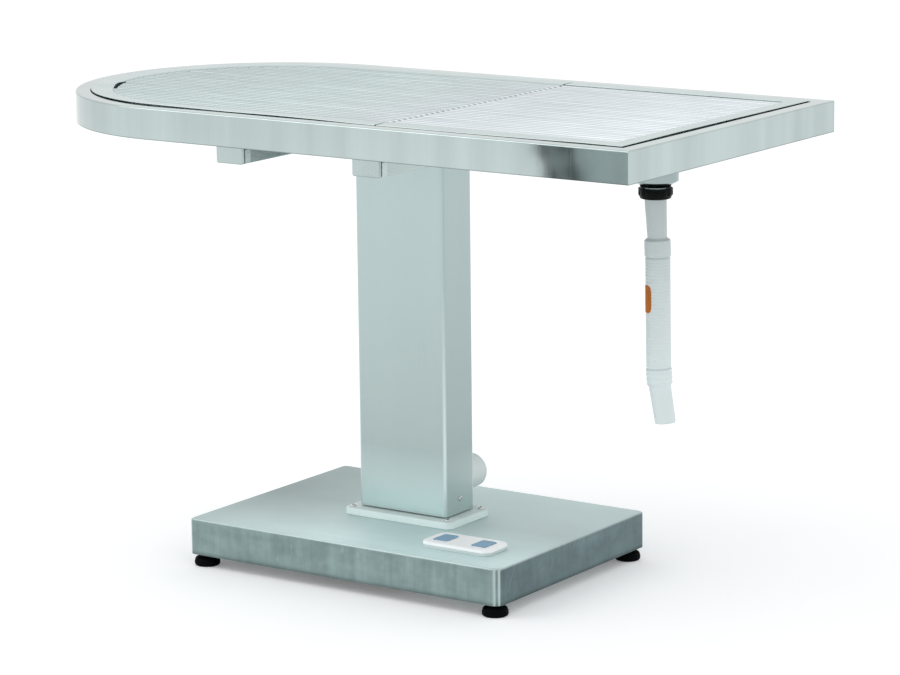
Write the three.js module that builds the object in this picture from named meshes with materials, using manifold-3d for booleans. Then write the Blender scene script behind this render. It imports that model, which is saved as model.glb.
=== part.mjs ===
// Veterinary examination table: a wet top with lift-out rod grates on an electric lifting column.
// Millimetres, +Z up. The origin is on the floor under the middle of the top. +X points to the
// square end, where the drain is, and -Y to the side where the vet stands. The top is at its lowest.

import * as THREE from 'three';
import { mergeVertices } from 'three/addons/utils/BufferGeometryUtils.js';
import loadManifold from 'manifold-3d';

const wasm = await loadManifold();
wasm.setup();

// Clearances
const SEAT = 0.3;           // between faces that rest on or are fixed to each other
const SLIDE = 0.3;          // between faces that slide on each other
const HOLE_CLEAR = 0.4;     // round a stud in its hole
const OVERCUT = 2;          // how far a cutting tool runs past the face that it opens

// Whole table
const TOP_LENGTH = 1200;
const TOP_WIDTH = 620;
const LOW_HEIGHT = 766;     // floor to rim
const STROKE = 300;
const COLUMN_X = 4;         // column and base stand this far right of the middle of the top

// Rim: a folded channel, open below, round the top
const RIM_HEIGHT = 50;
const RIM_WIDTH = 25;
const RIM_SHEET = 1.5;
const RIM_FOLD = 2.5;       // radius of the outer top edge

// Pan: hangs inside the rim, falls to the drain
const PAN_SHEET = 1.5;
const PAN_DEPTH = 50;       // rim top to floor at the drain
const PAN_FALL = 0.015;     // rise of the floor for each millimetre away from the drain
const LEDGE_WIDTH = 18;     // step that the grates stand on
const SUMP_RADIUS = 48;
const SUMP_DEPTH = 4;

// Grates
const GRATE_GAP = 5;        // open gap between rim and grate
const GRATE_PROUD = 2;      // border above the rim
const GRATE_HEIGHT = 22;
const BORDER_WIDTH = 28;
const BORDER_SHEET = 2.5;
const SQUARE_GRATE_LENGTH = 436.5;
const SEAM_GAP = 3;
const ROD_DIAMETER = 8;
const ROD_PITCH = 14.7;
const ROD_DROP = 2.5;       // rods lie this far below the border
const ROD_END_GAP = 6;      // rod ends stop this far short of the border
const CROSSBAR_THICK = 4;
const CROSSBAR_DEPTH = 9;
const CROSSBAR_PITCH = 285;
const CROSSBAR_SETBACK = 10;  // first crossbar from the seam
const WELD_SINK = 1;        // how far a rod is melted into its crossbar

// Cross beams under the top
const BEAM_SPACING = 260;
const BEAM_WIDTH = 50;
const BEAM_HEIGHT = 25;
const BEAM_WALL = 2;
const BEAM_CORNER = 3;
const TUBE_CORNER = 1;      // smallest inside corner of a rectangular tube
const CAP_THICK = 6;        // end cap's lip
const CAP_SHADOW = 3;       // open joint between the lip and the tube
const CAP_PLUG = 14;        // how far the cap's plug goes into the tube

// Column head
const HEAD_DEPTH = 180;
const HEAD_THICK = 8;
const HEAD_CORNER = 10;
const HEAD_BOLT_SPREAD = 120;

// Lifting column: the sleeve moves with the top, over a fixed inner column
const SLEEVE_WIDTH = 171;
const SLEEVE_DEPTH = 82;
const SLEEVE_WALL = 2;
const SLEEVE_CORNER = 6;
const SLEEVE_GAP = 2;       // sleeve's lower edge over the flange
const GUIDE_THICK = 4;
const GUIDE_HEIGHT = 30;
const GUIDE_SETBACK = 1;    // lower guide's edge above the sleeve's lower edge
const SIDE_SCREW_RISE = 24; // over the sleeve's lower edge
const INNER_WALL = 3;
const INNER_CORNER = 5;
const INNER_HEADROOM = 20;  // inner column's top below the head plate
const FLANGE_LENGTH = 210;
const FLANGE_WIDTH = 119;
const FLANGE_THICK = 12;
const FLANGE_CORNER = 12;
const FLANGE_EDGE = 2;
const FLANGE_BOLT_INSET = 11.5;
const CABLE_HOLE_RADIUS = 14;

// Actuator inside the column
const GEARBOX_HEIGHT = 79;
const GEARBOX_LEFT = 28;    // gearbox wall on the other side of the spindle from the motor
const GEARBOX_CLEAR = 4;
const GEARBOX_CORNER = 8;
const MOTOR_RADIUS = 28;
const MOTOR_RISE = 48.5;    // motor's axis over the gearbox's floor
const MOTOR_PROUD = 65;     // motor cover behind the sleeve
const MOTOR_DOME = 9;
const MOTOR_FLAT = 12;      // radius of the flat end of the dome
const MOTOR_BAND = 14;      // bare motor ring next to the gearbox
const MOTOR_STEP = 2;       // ring's radius inside the cover's
const NOTCH_CLEAR = 2;      // round the motor in the column walls
const SPINDLE_RADIUS = 8;
const SPINDLE_CHAMFER = 2;
const SPINDLE_SOCKET = 25;
const SPINDLE_SPARE = 15;   // spindle above the nut at full height
const NUT_HEIGHT = 30;
const NUT_REST = 6;         // nut over the gearbox at the lowest position
const ACTUATOR_TUBE_RADIUS = 20;
const ACTUATOR_TUBE_WALL = 3;
const ACTUATOR_HEADROOM = 34;
const GLAND_HEIGHT = 12;
const GLAND_PROUD = 1;      // gland outside the actuator tube
const PUSH_TUBE_RADIUS = 13;
const PUSH_TUBE_WALL = 3;
const PUSH_FLANGE_RADIUS = 24;
const PUSH_FLANGE_THICK = 6;

// Base
const BASE_LENGTH = 606;
const BASE_WIDTH = 432;
const BASE_HEIGHT = 60;
const BASE_WALL = 2;
const BASE_CORNER = 16;
const BASE_EDGE = 4;
const FRAME_LIFT = 2;       // frame above the cover's lower edge
const RAIL_WIDTH = 30;
const RAIL_WALL = 3;
const CROSS_SPACING = 200;
const PLATE_THICK = 8;
const CONTROL_WIDTH = 110;
const CONTROL_HEIGHT = 38;
const CONTROL_END_GAP = 21;   // from the end of the skirt
const CONTROL_CROSS_GAP = 30; // from the cross member
const CONTROL_CORNER = 6;
const INLET_WIDTH = 28;
const INLET_HEIGHT = 20;
const INLET_DEPTH = 22;
const INLET_LIP = 3;
const INLET_LIP_THICK = 2;
const INLET_WALL = 2;

// Levelling feet
const FOOT_HEIGHT = 20;
const FOOT_RADIUS = 21;
const FOOT_INSET = 20;
const FOOT_SOLE_BEVEL = 3;
const FOOT_BAND_TOP = 8;    // top of the widest band
const FOOT_SLOPE = 2;       // slope above the band, inwards
const FOOT_SLOPE_TOP = 13;
const FOOT_SHOULDER_TOP = 16;
const FOOT_COLLAR = 8;      // rubber round the stud
const STUD_RADIUS = 5;
const STUD_CHAMFER = 1;
const STUD_RISE = 32;       // stud above the pad
const STUD_SOCKET = 10;

// Foot switch on the base
const SWITCH_LENGTH = 130;
const SWITCH_WIDTH = 68;
const SWITCH_HEIGHT = 10;
const SWITCH_CORNER = 16;
const SWITCH_EDGE = 4;
const SWITCH_WALL = 2;
const SWITCH_PLATE = 1.2;   // closing plate below
const SWITCH_END_INSET = 119;   // middle of the switch from the base's right end
const SWITCH_FRONT_INSET = 84;  // and from the base's front
const BUTTON_LENGTH = 27;
const BUTTON_WIDTH = 36;
const BUTTON_CORNER = 3;
const BUTTON_EDGE = 1;
const BUTTON_SPACING = 72;
const BUTTON_PROUD = 1.5;
const BUTTON_LIP = 2;
const BUTTON_LIP_THICK = 1.2;
const BUTTON_TRAVEL = 1.5;
const MICRO_LENGTH = 18;
const MICRO_WIDTH = 14;

// Drain
const DRAIN_INSET = 142;    // drain's axis from the square end
const DRAIN_SEAL = 2;
const CUP_RADIUS = 36;
const CUP_HEIGHT = 38;
const CUP_CONE = 7;
const CUP_WALL = 2;
const CUP_FOOT = 4;         // flat ring under the cup, round the neck
const NECK_RADIUS = 20;
const NECK_WALL = 4;
const NECK_LENGTH = 13;
const NECK_SEAL = 4;
const NECK_SEAL_WIDTH = 3;
const UNION_RADIUS = 27;
const UNION_HEIGHT = 16;
const UNION_LIP = 4;
const UNION_RIBS = 13;
const UNION_RIB = 1.6;      // depth of the grooves between the ribs
const STRAINER_SLOTS = 8;
const STRAINER_SLOT_WIDTH = 5.6;
const STRAINER_HUB = 10.5;
const STRAINER_MARGIN = 2;  // slot ends inside the cup's bore

// Waste hose
const HOSE_TOP_RADIUS = 18;
const HOSE_TIP_RADIUS = 15;
const HOSE_TAPER = 65;
const HOSE_FLANGE_SETBACK = 1;  // hose flange inside the neck's radius
const HOSE_WALL = 2.5;
const HOSE_COLLAR_RADIUS = 20.8;
const HOSE_COLLAR = 25;
const HOSE_SHOULDER = 4;    // slope from the collar to the tapered stretch
const HOSE_BODY_RADIUS = 19.8;
const HOSE_CUFF_RADIUS = 20.6;
const HOSE_CUFF = 28;
const CUFF_BEVEL = 3;       // lower edge
const CUFF_EDGE = 1;        // upper edge
const HOSE_TAIL_RADIUS = 15;
const HOSE_TAIL = 60;
const HOSE_BODY = 176;
const HOSE_DRIFT = 6;       // how far the lower end hangs out of line with the drain
const HOSE_LEAN = 4;        // degrees, at the lower end of the corrugated stretch
const HOSE_TAIL_LEAN = 6;   // degrees more, in the tail

// Holes for the fasteners
const FLANGE_HOLE_RADIUS = 3.4;
const HEAD_HOLE_RADIUS = 4.4;
const SIDE_HOLE_RADIUS = 2.4;

// Heights that follow
const BASE_TOP = FOOT_HEIGHT + BASE_HEIGHT;
const FLANGE_TOP = BASE_TOP + SEAT + FLANGE_THICK;
const SLEEVE_BOTTOM = FLANGE_TOP + SLEEVE_GAP;
const RIM_BOTTOM = LOW_HEIGHT - RIM_HEIGHT;
const BEAM_TOP = RIM_BOTTOM - SEAT;
const BEAM_BOTTOM = BEAM_TOP - BEAM_HEIGHT;
const HEAD_TOP = BEAM_BOTTOM - SEAT;
const HEAD_BOTTOM = HEAD_TOP - HEAD_THICK;
const SLEEVE_TOP = HEAD_BOTTOM - SEAT;
const INNER_BOTTOM = FLANGE_TOP + SEAT;
const INNER_TOP = SLEEVE_TOP - INNER_HEADROOM;
const GEARBOX_TOP = INNER_BOTTOM + GEARBOX_HEIGHT;
const NUT_BOTTOM = GEARBOX_TOP + SEAT + NUT_REST;
const NUT_TOP = NUT_BOTTOM + NUT_HEIGHT;
const ACTUATOR_TUBE_TOP = SLEEVE_TOP - ACTUATOR_HEADROOM;
const GRATE_TOP = LOW_HEIGHT + GRATE_PROUD;
const GRATE_BOTTOM = GRATE_TOP - GRATE_HEIGHT;
const ROD_TOP = GRATE_TOP - ROD_DROP;
const LEDGE_TOP = GRATE_BOTTOM - SEAT;
const PAN_FLOOR = LOW_HEIGHT - PAN_DEPTH;
const SUMP_FLOOR = PAN_FLOOR - SUMP_DEPTH;
const CUP_TOP = SUMP_FLOOR - PAN_SHEET - SEAT - DRAIN_SEAL - SEAT;
const CUP_BOTTOM = CUP_TOP - CUP_HEIGHT - CUP_CONE;
const NECK_BOTTOM = CUP_BOTTOM - NECK_LENGTH;
const UNION_TOP = CUP_BOTTOM - SEAT - NECK_SEAL - SEAT;
const UNION_BOTTOM = UNION_TOP - UNION_HEIGHT;
const HOSE_TOP = NECK_BOTTOM - SEAT;
const HOSE_TAPER_END = UNION_BOTTOM - HOSE_TAPER;
const HOSE_BODY_TOP = HOSE_TAPER_END - HOSE_COLLAR - SEAT;

// Widths that follow
const BORE_WIDTH = SLEEVE_WIDTH - 2 * SLEEVE_WALL;
const BORE_DEPTH = SLEEVE_DEPTH - 2 * SLEEVE_WALL;
const INNER_WIDTH = BORE_WIDTH - 2 * (SEAT + GUIDE_THICK + SLIDE);
const INNER_DEPTH = BORE_DEPTH - 2 * (SEAT + GUIDE_THICK + SLIDE);
const INNER_BORE_WIDTH = INNER_WIDTH - 2 * INNER_WALL;
const INNER_BORE_DEPTH = INNER_DEPTH - 2 * INNER_WALL;
const GEARBOX_RIGHT = INNER_BORE_WIDTH / 2 - GEARBOX_CLEAR;
const GEARBOX_DEPTH = INNER_BORE_DEPTH - 2 * GEARBOX_CLEAR;
const MOTOR_X = GEARBOX_RIGHT - MOTOR_RADIUS;
const MOTOR_Z = INNER_BOTTOM + MOTOR_RISE;
const FLANGE_BOLT_X = FLANGE_LENGTH / 2 - FLANGE_BOLT_INSET;
const FLANGE_BOLT_Y = FLANGE_WIDTH / 2 - FLANGE_BOLT_INSET;
const FOOT_X = BASE_LENGTH / 2 - FOOT_INSET;
const FOOT_Y = BASE_WIDTH / 2 - FOOT_INSET;
const COVER_CEILING = BASE_TOP - BASE_WALL;
const PLATE_TOP = COVER_CEILING - SEAT;
const FRAME_TOP = PLATE_TOP - PLATE_THICK - SEAT;
const FRAME_BOTTOM = FOOT_HEIGHT + FRAME_LIFT;
const FRAME_LENGTH = BASE_LENGTH - 2 * (BASE_WALL + SEAT);
const FRAME_WIDTH = BASE_WIDTH - 2 * (BASE_WALL + SEAT);
const GRATE_INSET = RIM_WIDTH + GRATE_GAP;
const FIELD_INSET = GRATE_INSET + BORDER_WIDTH;
const ROUND_CENTRE = TOP_WIDTH / 2 - TOP_LENGTH / 2;
const LEDGE_INSET = RIM_WIDTH + SEAT;
const WALL_INSET = LEDGE_INSET + LEDGE_WIDTH;
const SEAM_X = TOP_LENGTH / 2 - GRATE_INSET - SQUARE_GRATE_LENGTH - SEAM_GAP / 2;
const DRAIN_X = TOP_LENGTH / 2 - DRAIN_INSET;
const CONTROL_LEFT = BASE_WALL + CONTROL_END_GAP - BASE_LENGTH / 2;
const CONTROL_RIGHT = -CROSS_SPACING / 2 - CONTROL_CROSS_GAP;
const CONTROL_X = (CONTROL_LEFT + CONTROL_RIGHT) / 2;
const SWITCH_X = COLUMN_X + BASE_LENGTH / 2 - SWITCH_END_INSET;
const SWITCH_Y = SWITCH_FRONT_INSET - BASE_WIDTH / 2;
const SWITCH_BOTTOM = BASE_TOP + SEAT;
const SWITCH_TOP = SWITCH_BOTTOM + SWITCH_HEIGHT;

// Facets: an arc has twice its number of steps
const FINE_ARC = 16;
const NOTCH_ARC = 8;
const CLOSE_ARC = 3;
const WIDE_ARC = 2;
const SMALL_ARC = 1;
const EDGE_STEPS = 2;
const DOME_STEPS = 3;
const ROUND_STEPS = 16;
const HOSE_STEPS = 12;
const HOSE_BENDS = 4;
const FOOT_STEPS = 12;
const BOLT_STEPS = 8;
const ROD_STEPS = 6;

// Closed bodies and their booleans

function solid(geometry) {
  geometry.deleteAttribute('normal');
  geometry.deleteAttribute('uv');
  const merged = mergeVertices(geometry);
  const index = merged.index.array;
  const kept = [];
  for (let i = 0; i < index.length; i += 3) {
    const [a, b, c] = index.slice(i, i + 3);
    if (a !== b && b !== c && c !== a) kept.push(a, b, c);
  }
  return new wasm.Manifold(new wasm.Mesh({
    numProp: 3,
    vertProperties: Float32Array.from(merged.attributes.position.array),
    triVerts: Uint32Array.from(kept),
  }));
}

function geometryOf(body) {
  const mesh = body.getMesh();
  const geometry = new THREE.BufferGeometry();
  geometry.setAttribute('position', new THREE.BufferAttribute(mesh.vertProperties, 3));
  geometry.setIndex(new THREE.BufferAttribute(mesh.triVerts, 1));
  geometry.computeVertexNormals();
  return geometry;
}

const join = (...bodies) => bodies.reduce((all, body) => all.add(body));
const cut = (body, ...tools) => tools.reduce((left, tool) => left.subtract(tool), body);

// Shapes

function box(x0, x1, y0, y1, z0, z1) {
  const geometry = new THREE.BoxGeometry(x1 - x0, y1 - y0, z1 - z0);
  return solid(geometry.translate((x0 + x1) / 2, (y0 + y1) / 2, (z0 + z1) / 2));
}

function roundedRect(width, depth, radius, x = 0, y = 0) {
  const dx = width / 2 - radius;
  const dy = depth / 2 - radius;
  const shape = new THREE.Shape();
  shape.absarc(x + dx, y + dy, radius, 0, Math.PI / 2);
  shape.absarc(x - dx, y + dy, radius, Math.PI / 2, Math.PI);
  shape.absarc(x - dx, y - dy, radius, Math.PI, 1.5 * Math.PI);
  shape.absarc(x + dx, y - dy, radius, 1.5 * Math.PI, 2 * Math.PI);
  return shape;
}

// Outline of the top moved inwards: half-round left end, straight sides, square right end
function topOutline(inset) {
  const half = TOP_WIDTH / 2 - inset;
  const right = TOP_LENGTH / 2 - inset;
  const shape = new THREE.Shape();
  shape.absarc(ROUND_CENTRE, 0, half, Math.PI / 2, 1.5 * Math.PI);
  shape.lineTo(right, -half);
  shape.lineTo(right, half);
  return shape;
}

function slab(shape, z0, z1, arc = SMALL_ARC) {
  const options = { depth: z1 - z0, bevelEnabled: false, curveSegments: arc };
  return solid(new THREE.ExtrudeGeometry(shape, options).translate(0, 0, z0));
}

// A slab whose upper edge is rounded: rounded at both ends, then trimmed flat below
function softSlab(shape, z0, z1, edge, arc = SMALL_ARC, edgeSteps = EDGE_STEPS) {
  const options = {
    depth: z1 - z0 - edge,
    bevelThickness: edge,
    bevelSize: edge,
    bevelOffset: -edge,
    bevelSegments: edgeSteps,
    curveSegments: arc,
  };
  const body = solid(new THREE.ExtrudeGeometry(shape, options).translate(0, 0, z0));
  const reach = TOP_LENGTH;
  return cut(body, box(-reach, reach, -reach, reach, z0 - edge - OVERCUT, z0));
}

// A profile of [radius, height] points turned about Z
function turned(profile, steps = ROUND_STEPS) {
  const points = profile.map(([radius, height]) => new THREE.Vector2(radius, height));
  return solid(new THREE.LatheGeometry(points, steps).rotateX(Math.PI / 2));
}

function disc(radius, z0, z1, steps = ROUND_STEPS) {
  return turned([[0, z0], [radius, z0], [radius, z1], [0, z1]], steps);
}

function ring(outer, inner, z0, z1, steps = ROUND_STEPS) {
  return turned([[outer, z0], [outer, z1], [inner, z1], [inner, z0], [outer, z0]], steps);
}

// A profile of [x, z] corners carried across the width of the table
function prismAcross(corners, width) {
  const shape = new THREE.Shape(corners.map(([x, z]) => new THREE.Vector2(x, z)));
  const geometry = new THREE.ExtrudeGeometry(shape, { depth: width, bevelEnabled: false });
  return solid(geometry.rotateX(Math.PI / 2).translate(0, width / 2, 0));
}

function rectangularTube(width, depth, wall, corner, z0, z1, arc = SMALL_ARC) {
  const outer = slab(roundedRect(width, depth, corner), z0, z1, arc);
  const bore = roundedRect(width - 2 * wall, depth - 2 * wall, Math.max(corner - wall, TUBE_CORNER));
  return cut(outer, slab(bore, z0 - OVERCUT, z1 + OVERCUT, arc));
}

const corners = (x, y) => [[-x, -y], [x, -y], [x, y], [-x, y]];

// Finishes
const finish = (color, roughness, metalness) =>
  () => new THREE.MeshStandardMaterial({ color, roughness, metalness });
const satinSteel = finish(0xc3cfce, 0.32, 1);
const baseSteel = finish(0xa9b8b6, 0.38, 1);
const plainSteel = finish(0x9aa3a4, 0.45, 1);
const darkPaint = finish(0x3a3f42, 0.6, 0);
const palePlastic = finish(0xdfe6e6, 0.45, 0);
const whitePlastic = finish(0xf2f4f4, 0.4, 0);
const bluePad = finish(0x6f97b9, 0.5, 0);
const blackRubber = finish(0x17181a, 0.8, 0);
const blackPlastic = finish(0x101213, 0.5, 0);
const slidePlastic = finish(0xe8e6da, 0.6, 0);

// Top

function rimFrame() {
  const outer = softSlab(topOutline(0), RIM_BOTTOM, LOW_HEIGHT, RIM_FOLD, FINE_ARC);
  const channel = topOutline(RIM_SHEET);
  channel.holes.push(topOutline(RIM_WIDTH - RIM_SHEET));
  const hollow = slab(channel, RIM_BOTTOM - OVERCUT, LOW_HEIGHT - RIM_SHEET, FINE_ARC);
  const opening = slab(topOutline(RIM_WIDTH), RIM_BOTTOM - OVERCUT, LOW_HEIGHT + OVERCUT, FINE_ARC);
  return cut(outer, hollow, opening);
}

// Everything above the pan's floor, which falls to the drain from both ends
function spaceAboveFloor(lower) {
  const left = -TOP_LENGTH / 2;
  const right = TOP_LENGTH / 2;
  return prismAcross([
    [left, LOW_HEIGHT],
    [left, PAN_FLOOR + PAN_FALL * (DRAIN_X - left) - lower],
    [DRAIN_X, PAN_FLOOR - lower],
    [right, PAN_FLOOR + PAN_FALL * (right - DRAIN_X) - lower],
    [right, LOW_HEIGHT],
  ], TOP_WIDTH);
}

// Sheet floor of the pan, with its dished sump and the outlet
function trayFloor() {
  const low = SUMP_FLOOR - PAN_SHEET - OVERCUT;
  const block = slab(topOutline(WALL_INSET), low, LEDGE_TOP, FINE_ARC);
  const sheet = block.intersect(spaceAboveFloor(PAN_SHEET));
  const dish = disc(SUMP_RADIUS + PAN_SHEET, SUMP_FLOOR - PAN_SHEET, PAN_FLOOR);
  const dishInside = disc(SUMP_RADIUS, SUMP_FLOOR, PAN_FLOOR + OVERCUT);
  const outlet = disc(CUP_RADIUS - CUP_WALL, low, PAN_FLOOR + OVERCUT);
  const atDrain = (body) => body.translate(DRAIN_X, 0, 0);
  return cut(join(sheet, atDrain(dish)), spaceAboveFloor(0), atDrain(dishInside), atDrain(outlet));
}

// Wall of the pan, standing on the floor's edge, with the ledge that carries the grates
function trayWall() {
  const low = PAN_FLOOR - OVERCUT;
  const block = slab(topOutline(WALL_INSET), low, LEDGE_TOP, FINE_ARC);
  const ledge = slab(topOutline(LEDGE_INSET), LEDGE_TOP - PAN_SHEET, LEDGE_TOP, FINE_ARC);
  const inside = slab(topOutline(WALL_INSET + PAN_SHEET), low - OVERCUT, LEDGE_TOP + OVERCUT, FINE_ARC);
  return cut(join(block.intersect(spaceAboveFloor(-SEAT)), ledge), inside);
}

// Angle-section border of both grates, still in one piece
function grateBorder() {
  const low = GRATE_BOTTOM - OVERCUT;
  const outer = slab(topOutline(GRATE_INSET), GRATE_BOTTOM, GRATE_TOP, FINE_ARC);
  const under = slab(topOutline(GRATE_INSET + BORDER_SHEET), low, GRATE_TOP - BORDER_SHEET, FINE_ARC);
  const field = slab(topOutline(FIELD_INSET), low, GRATE_TOP + OVERCUT, FINE_ARC);
  return cut(outer, under, field);
}

function crossbar(x) {
  const top = ROD_TOP - ROD_DIAMETER + WELD_SINK;
  const bar = box(x - CROSSBAR_THICK / 2, x + CROSSBAR_THICK / 2,
    -TOP_WIDTH / 2, TOP_WIDTH / 2, top - CROSSBAR_DEPTH, top);
  const reach = slab(topOutline(GRATE_INSET + BORDER_SHEET / 2), top - CROSSBAR_DEPTH - OVERCUT,
    top + OVERCUT, FINE_ARC);
  return bar.intersect(reach);
}

function rod(x0, x1, y) {
  const radius = ROD_DIAMETER / 2;
  const geometry = new THREE.CylinderGeometry(radius, radius, x1 - x0, ROD_STEPS);
  geometry.rotateY(Math.PI / 2).rotateZ(-Math.PI / 2);
  return solid(geometry.translate((x0 + x1) / 2, y, ROD_TOP - radius));
}

// Rods side by side over the whole field, from startOf(y) to endOf(y)
function rods(startOf, endOf) {
  const field = TOP_WIDTH - 2 * FIELD_INSET;
  const count = Math.floor(field / ROD_PITCH);
  const made = [];
  for (let i = 0; i < count; i += 1) {
    const y = (i - (count - 1) / 2) * ROD_PITCH;
    made.push(rod(startOf(y), endOf(y), y));
  }
  return made;
}

function grate(x0, x1, bars, rodBodies) {
  const side = box(x0, x1, -TOP_WIDTH, TOP_WIDTH, 0, GRATE_TOP + OVERCUT);
  return join(grateBorder().intersect(side), ...bars.map(crossbar), ...rodBodies);
}

function roundGrate() {
  const end = SEAM_X - SEAM_GAP / 2;
  const radius = TOP_WIDTH / 2 - FIELD_INSET;
  const startOf = (y) => ROUND_CENTRE - Math.sqrt(radius * radius - y * y) + ROD_END_GAP;
  const bars = [];
  const last = ROUND_CENTRE - radius + BORDER_WIDTH;
  for (let x = end - CROSSBAR_SETBACK; x > last; x -= CROSSBAR_PITCH) {
    bars.push(x);
  }
  return grate(-TOP_LENGTH, end, bars, rods(startOf, () => end));
}

function squareGrate() {
  const start = SEAM_X + SEAM_GAP / 2;
  const end = TOP_LENGTH / 2 - FIELD_INSET - ROD_END_GAP;
  const bars = [];
  for (let x = start + CROSSBAR_SETBACK; x < end - CROSSBAR_THICK; x += CROSSBAR_PITCH) {
    bars.push(x);
  }
  return grate(start, TOP_LENGTH, bars, rods(() => start, () => end));
}

// A beam lies across the table, centred on its own middle
function crossBeam() {
  const length = TOP_WIDTH - 2 * (CAP_THICK + CAP_SHADOW);
  const tube = rectangularTube(BEAM_WIDTH, BEAM_HEIGHT, BEAM_WALL, BEAM_CORNER, -length / 2, length / 2);
  const across = tube.rotate([90, 0, 0]);
  const hole = disc(HEAD_HOLE_RADIUS, -BEAM_HEIGHT, 0, BOLT_STEPS);
  const spread = HEAD_BOLT_SPREAD / 2;
  return cut(across, hole.translate(0, spread, 0), hole.translate(0, -spread, 0));
}

// End cap: a lip as large as the beam on a plug that fits inside it; the lip faces -Y
function beamCap() {
  const inside = 2 * (BEAM_WALL + SEAT);
  const lip = slab(roundedRect(BEAM_WIDTH, BEAM_HEIGHT, BEAM_CORNER), 0, CAP_THICK);
  const plug = roundedRect(BEAM_WIDTH - inside, BEAM_HEIGHT - inside, BEAM_CORNER - BEAM_WALL);
  const body = join(lip, slab(plug, CAP_THICK - OVERCUT / 2, CAP_THICK + CAP_SHADOW + CAP_PLUG));
  return body.rotate([-90, 0, 0]);
}

function headPlate() {
  const length = BEAM_SPACING + BEAM_WIDTH;
  const plate = slab(roundedRect(length, HEAD_DEPTH, HEAD_CORNER), HEAD_BOTTOM, HEAD_TOP);
  const hole = disc(HEAD_HOLE_RADIUS, HEAD_BOTTOM - OVERCUT, HEAD_TOP + OVERCUT, BOLT_STEPS);
  const holes = corners(BEAM_SPACING / 2, HEAD_BOLT_SPREAD / 2).map(([x, y]) => hole.translate(x, y, 0));
  return cut(plate, ...holes);
}

// Column

// Slot that clears the motor in the back wall, open below
function motorNotch(z0) {
  const half = MOTOR_RADIUS + NOTCH_CLEAR;
  const shape = new THREE.Shape();
  shape.absarc(MOTOR_X, MOTOR_Z, half, 0, Math.PI);
  shape.lineTo(MOTOR_X - half, z0 - OVERCUT);
  shape.lineTo(MOTOR_X + half, z0 - OVERCUT);
  const options = { depth: SLEEVE_DEPTH, bevelEnabled: false, curveSegments: NOTCH_ARC };
  const geometry = new THREE.ExtrudeGeometry(shape, options);
  return solid(geometry.rotateX(Math.PI / 2).translate(0, SLEEVE_DEPTH, 0));
}

function sideScrewHoles() {
  const reach = SLEEVE_WIDTH / 2 + OVERCUT;
  const through = disc(SIDE_HOLE_RADIUS, -reach, reach, BOLT_STEPS);
  return through.rotate([0, 90, 0]).translate(0, 0, SLEEVE_BOTTOM + SIDE_SCREW_RISE);
}

function columnSleeve() {
  const tube = rectangularTube(SLEEVE_WIDTH, SLEEVE_DEPTH, SLEEVE_WALL, SLEEVE_CORNER,
    SLEEVE_BOTTOM, SLEEVE_TOP, CLOSE_ARC);
  return cut(tube, motorNotch(SLEEVE_BOTTOM), sideScrewHoles());
}

// Frame of slide plastic between the sleeve's bore and the inner column
function guideFrame(outerGap, innerGap, z0, z1) {
  const corner = SLEEVE_CORNER - SLEEVE_WALL;
  const width = BORE_WIDTH - 2 * outerGap;
  const depth = BORE_DEPTH - 2 * outerGap;
  const outer = slab(roundedRect(width, depth, corner), z0, z1);
  const bore = roundedRect(INNER_WIDTH + 2 * innerGap, INNER_DEPTH + 2 * innerGap, INNER_CORNER);
  return cut(outer, slab(bore, z0 - OVERCUT, z1 + OVERCUT));
}

function lowerGuide() {
  const z0 = SLEEVE_BOTTOM + GUIDE_SETBACK;
  const frame = guideFrame(SEAT, SLIDE, z0, z0 + GUIDE_HEIGHT);
  return cut(frame, motorNotch(z0), sideScrewHoles());
}

function upperGuide() {
  return guideFrame(SLIDE, SEAT, INNER_TOP - GUIDE_HEIGHT, INNER_TOP);
}

function innerColumn() {
  const tube = rectangularTube(INNER_WIDTH, INNER_DEPTH, INNER_WALL, INNER_CORNER, INNER_BOTTOM, INNER_TOP);
  return cut(tube, motorNotch(INNER_BOTTOM));
}

function columnFlange() {
  const plate = softSlab(roundedRect(FLANGE_LENGTH, FLANGE_WIDTH, FLANGE_CORNER),
    BASE_TOP + SEAT, FLANGE_TOP, FLANGE_EDGE, WIDE_ARC);
  return cut(plate, ...flangeHoles(FLANGE_HOLE_RADIUS, BASE_TOP, FLANGE_TOP));
}

// Bolt holes of the flange and the cable hole in the middle, through a plate from z0 to z1
function flangeHoles(radius, z0, z1) {
  const hole = disc(radius, z0 - OVERCUT, z1 + OVERCUT, BOLT_STEPS);
  const cable = disc(CABLE_HOLE_RADIUS, z0 - OVERCUT, z1 + OVERCUT, BOLT_STEPS);
  const holes = corners(FLANGE_BOLT_X, FLANGE_BOLT_Y).map(([x, y]) => hole.translate(x, y, 0));
  return [...holes, cable.translate(-GEARBOX_LEFT - CABLE_HOLE_RADIUS, 0, 0)];
}

// Actuator

function gearbox() {
  const width = GEARBOX_RIGHT + GEARBOX_LEFT;
  const shape = roundedRect(width, GEARBOX_DEPTH, GEARBOX_CORNER, GEARBOX_RIGHT - width / 2);
  const housing = slab(shape, INNER_BOTTOM, GEARBOX_TOP);
  const socket = disc(SPINDLE_RADIUS + SLIDE, GEARBOX_TOP - SPINDLE_SOCKET, GEARBOX_TOP + OVERCUT);
  return cut(housing, socket);
}

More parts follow.
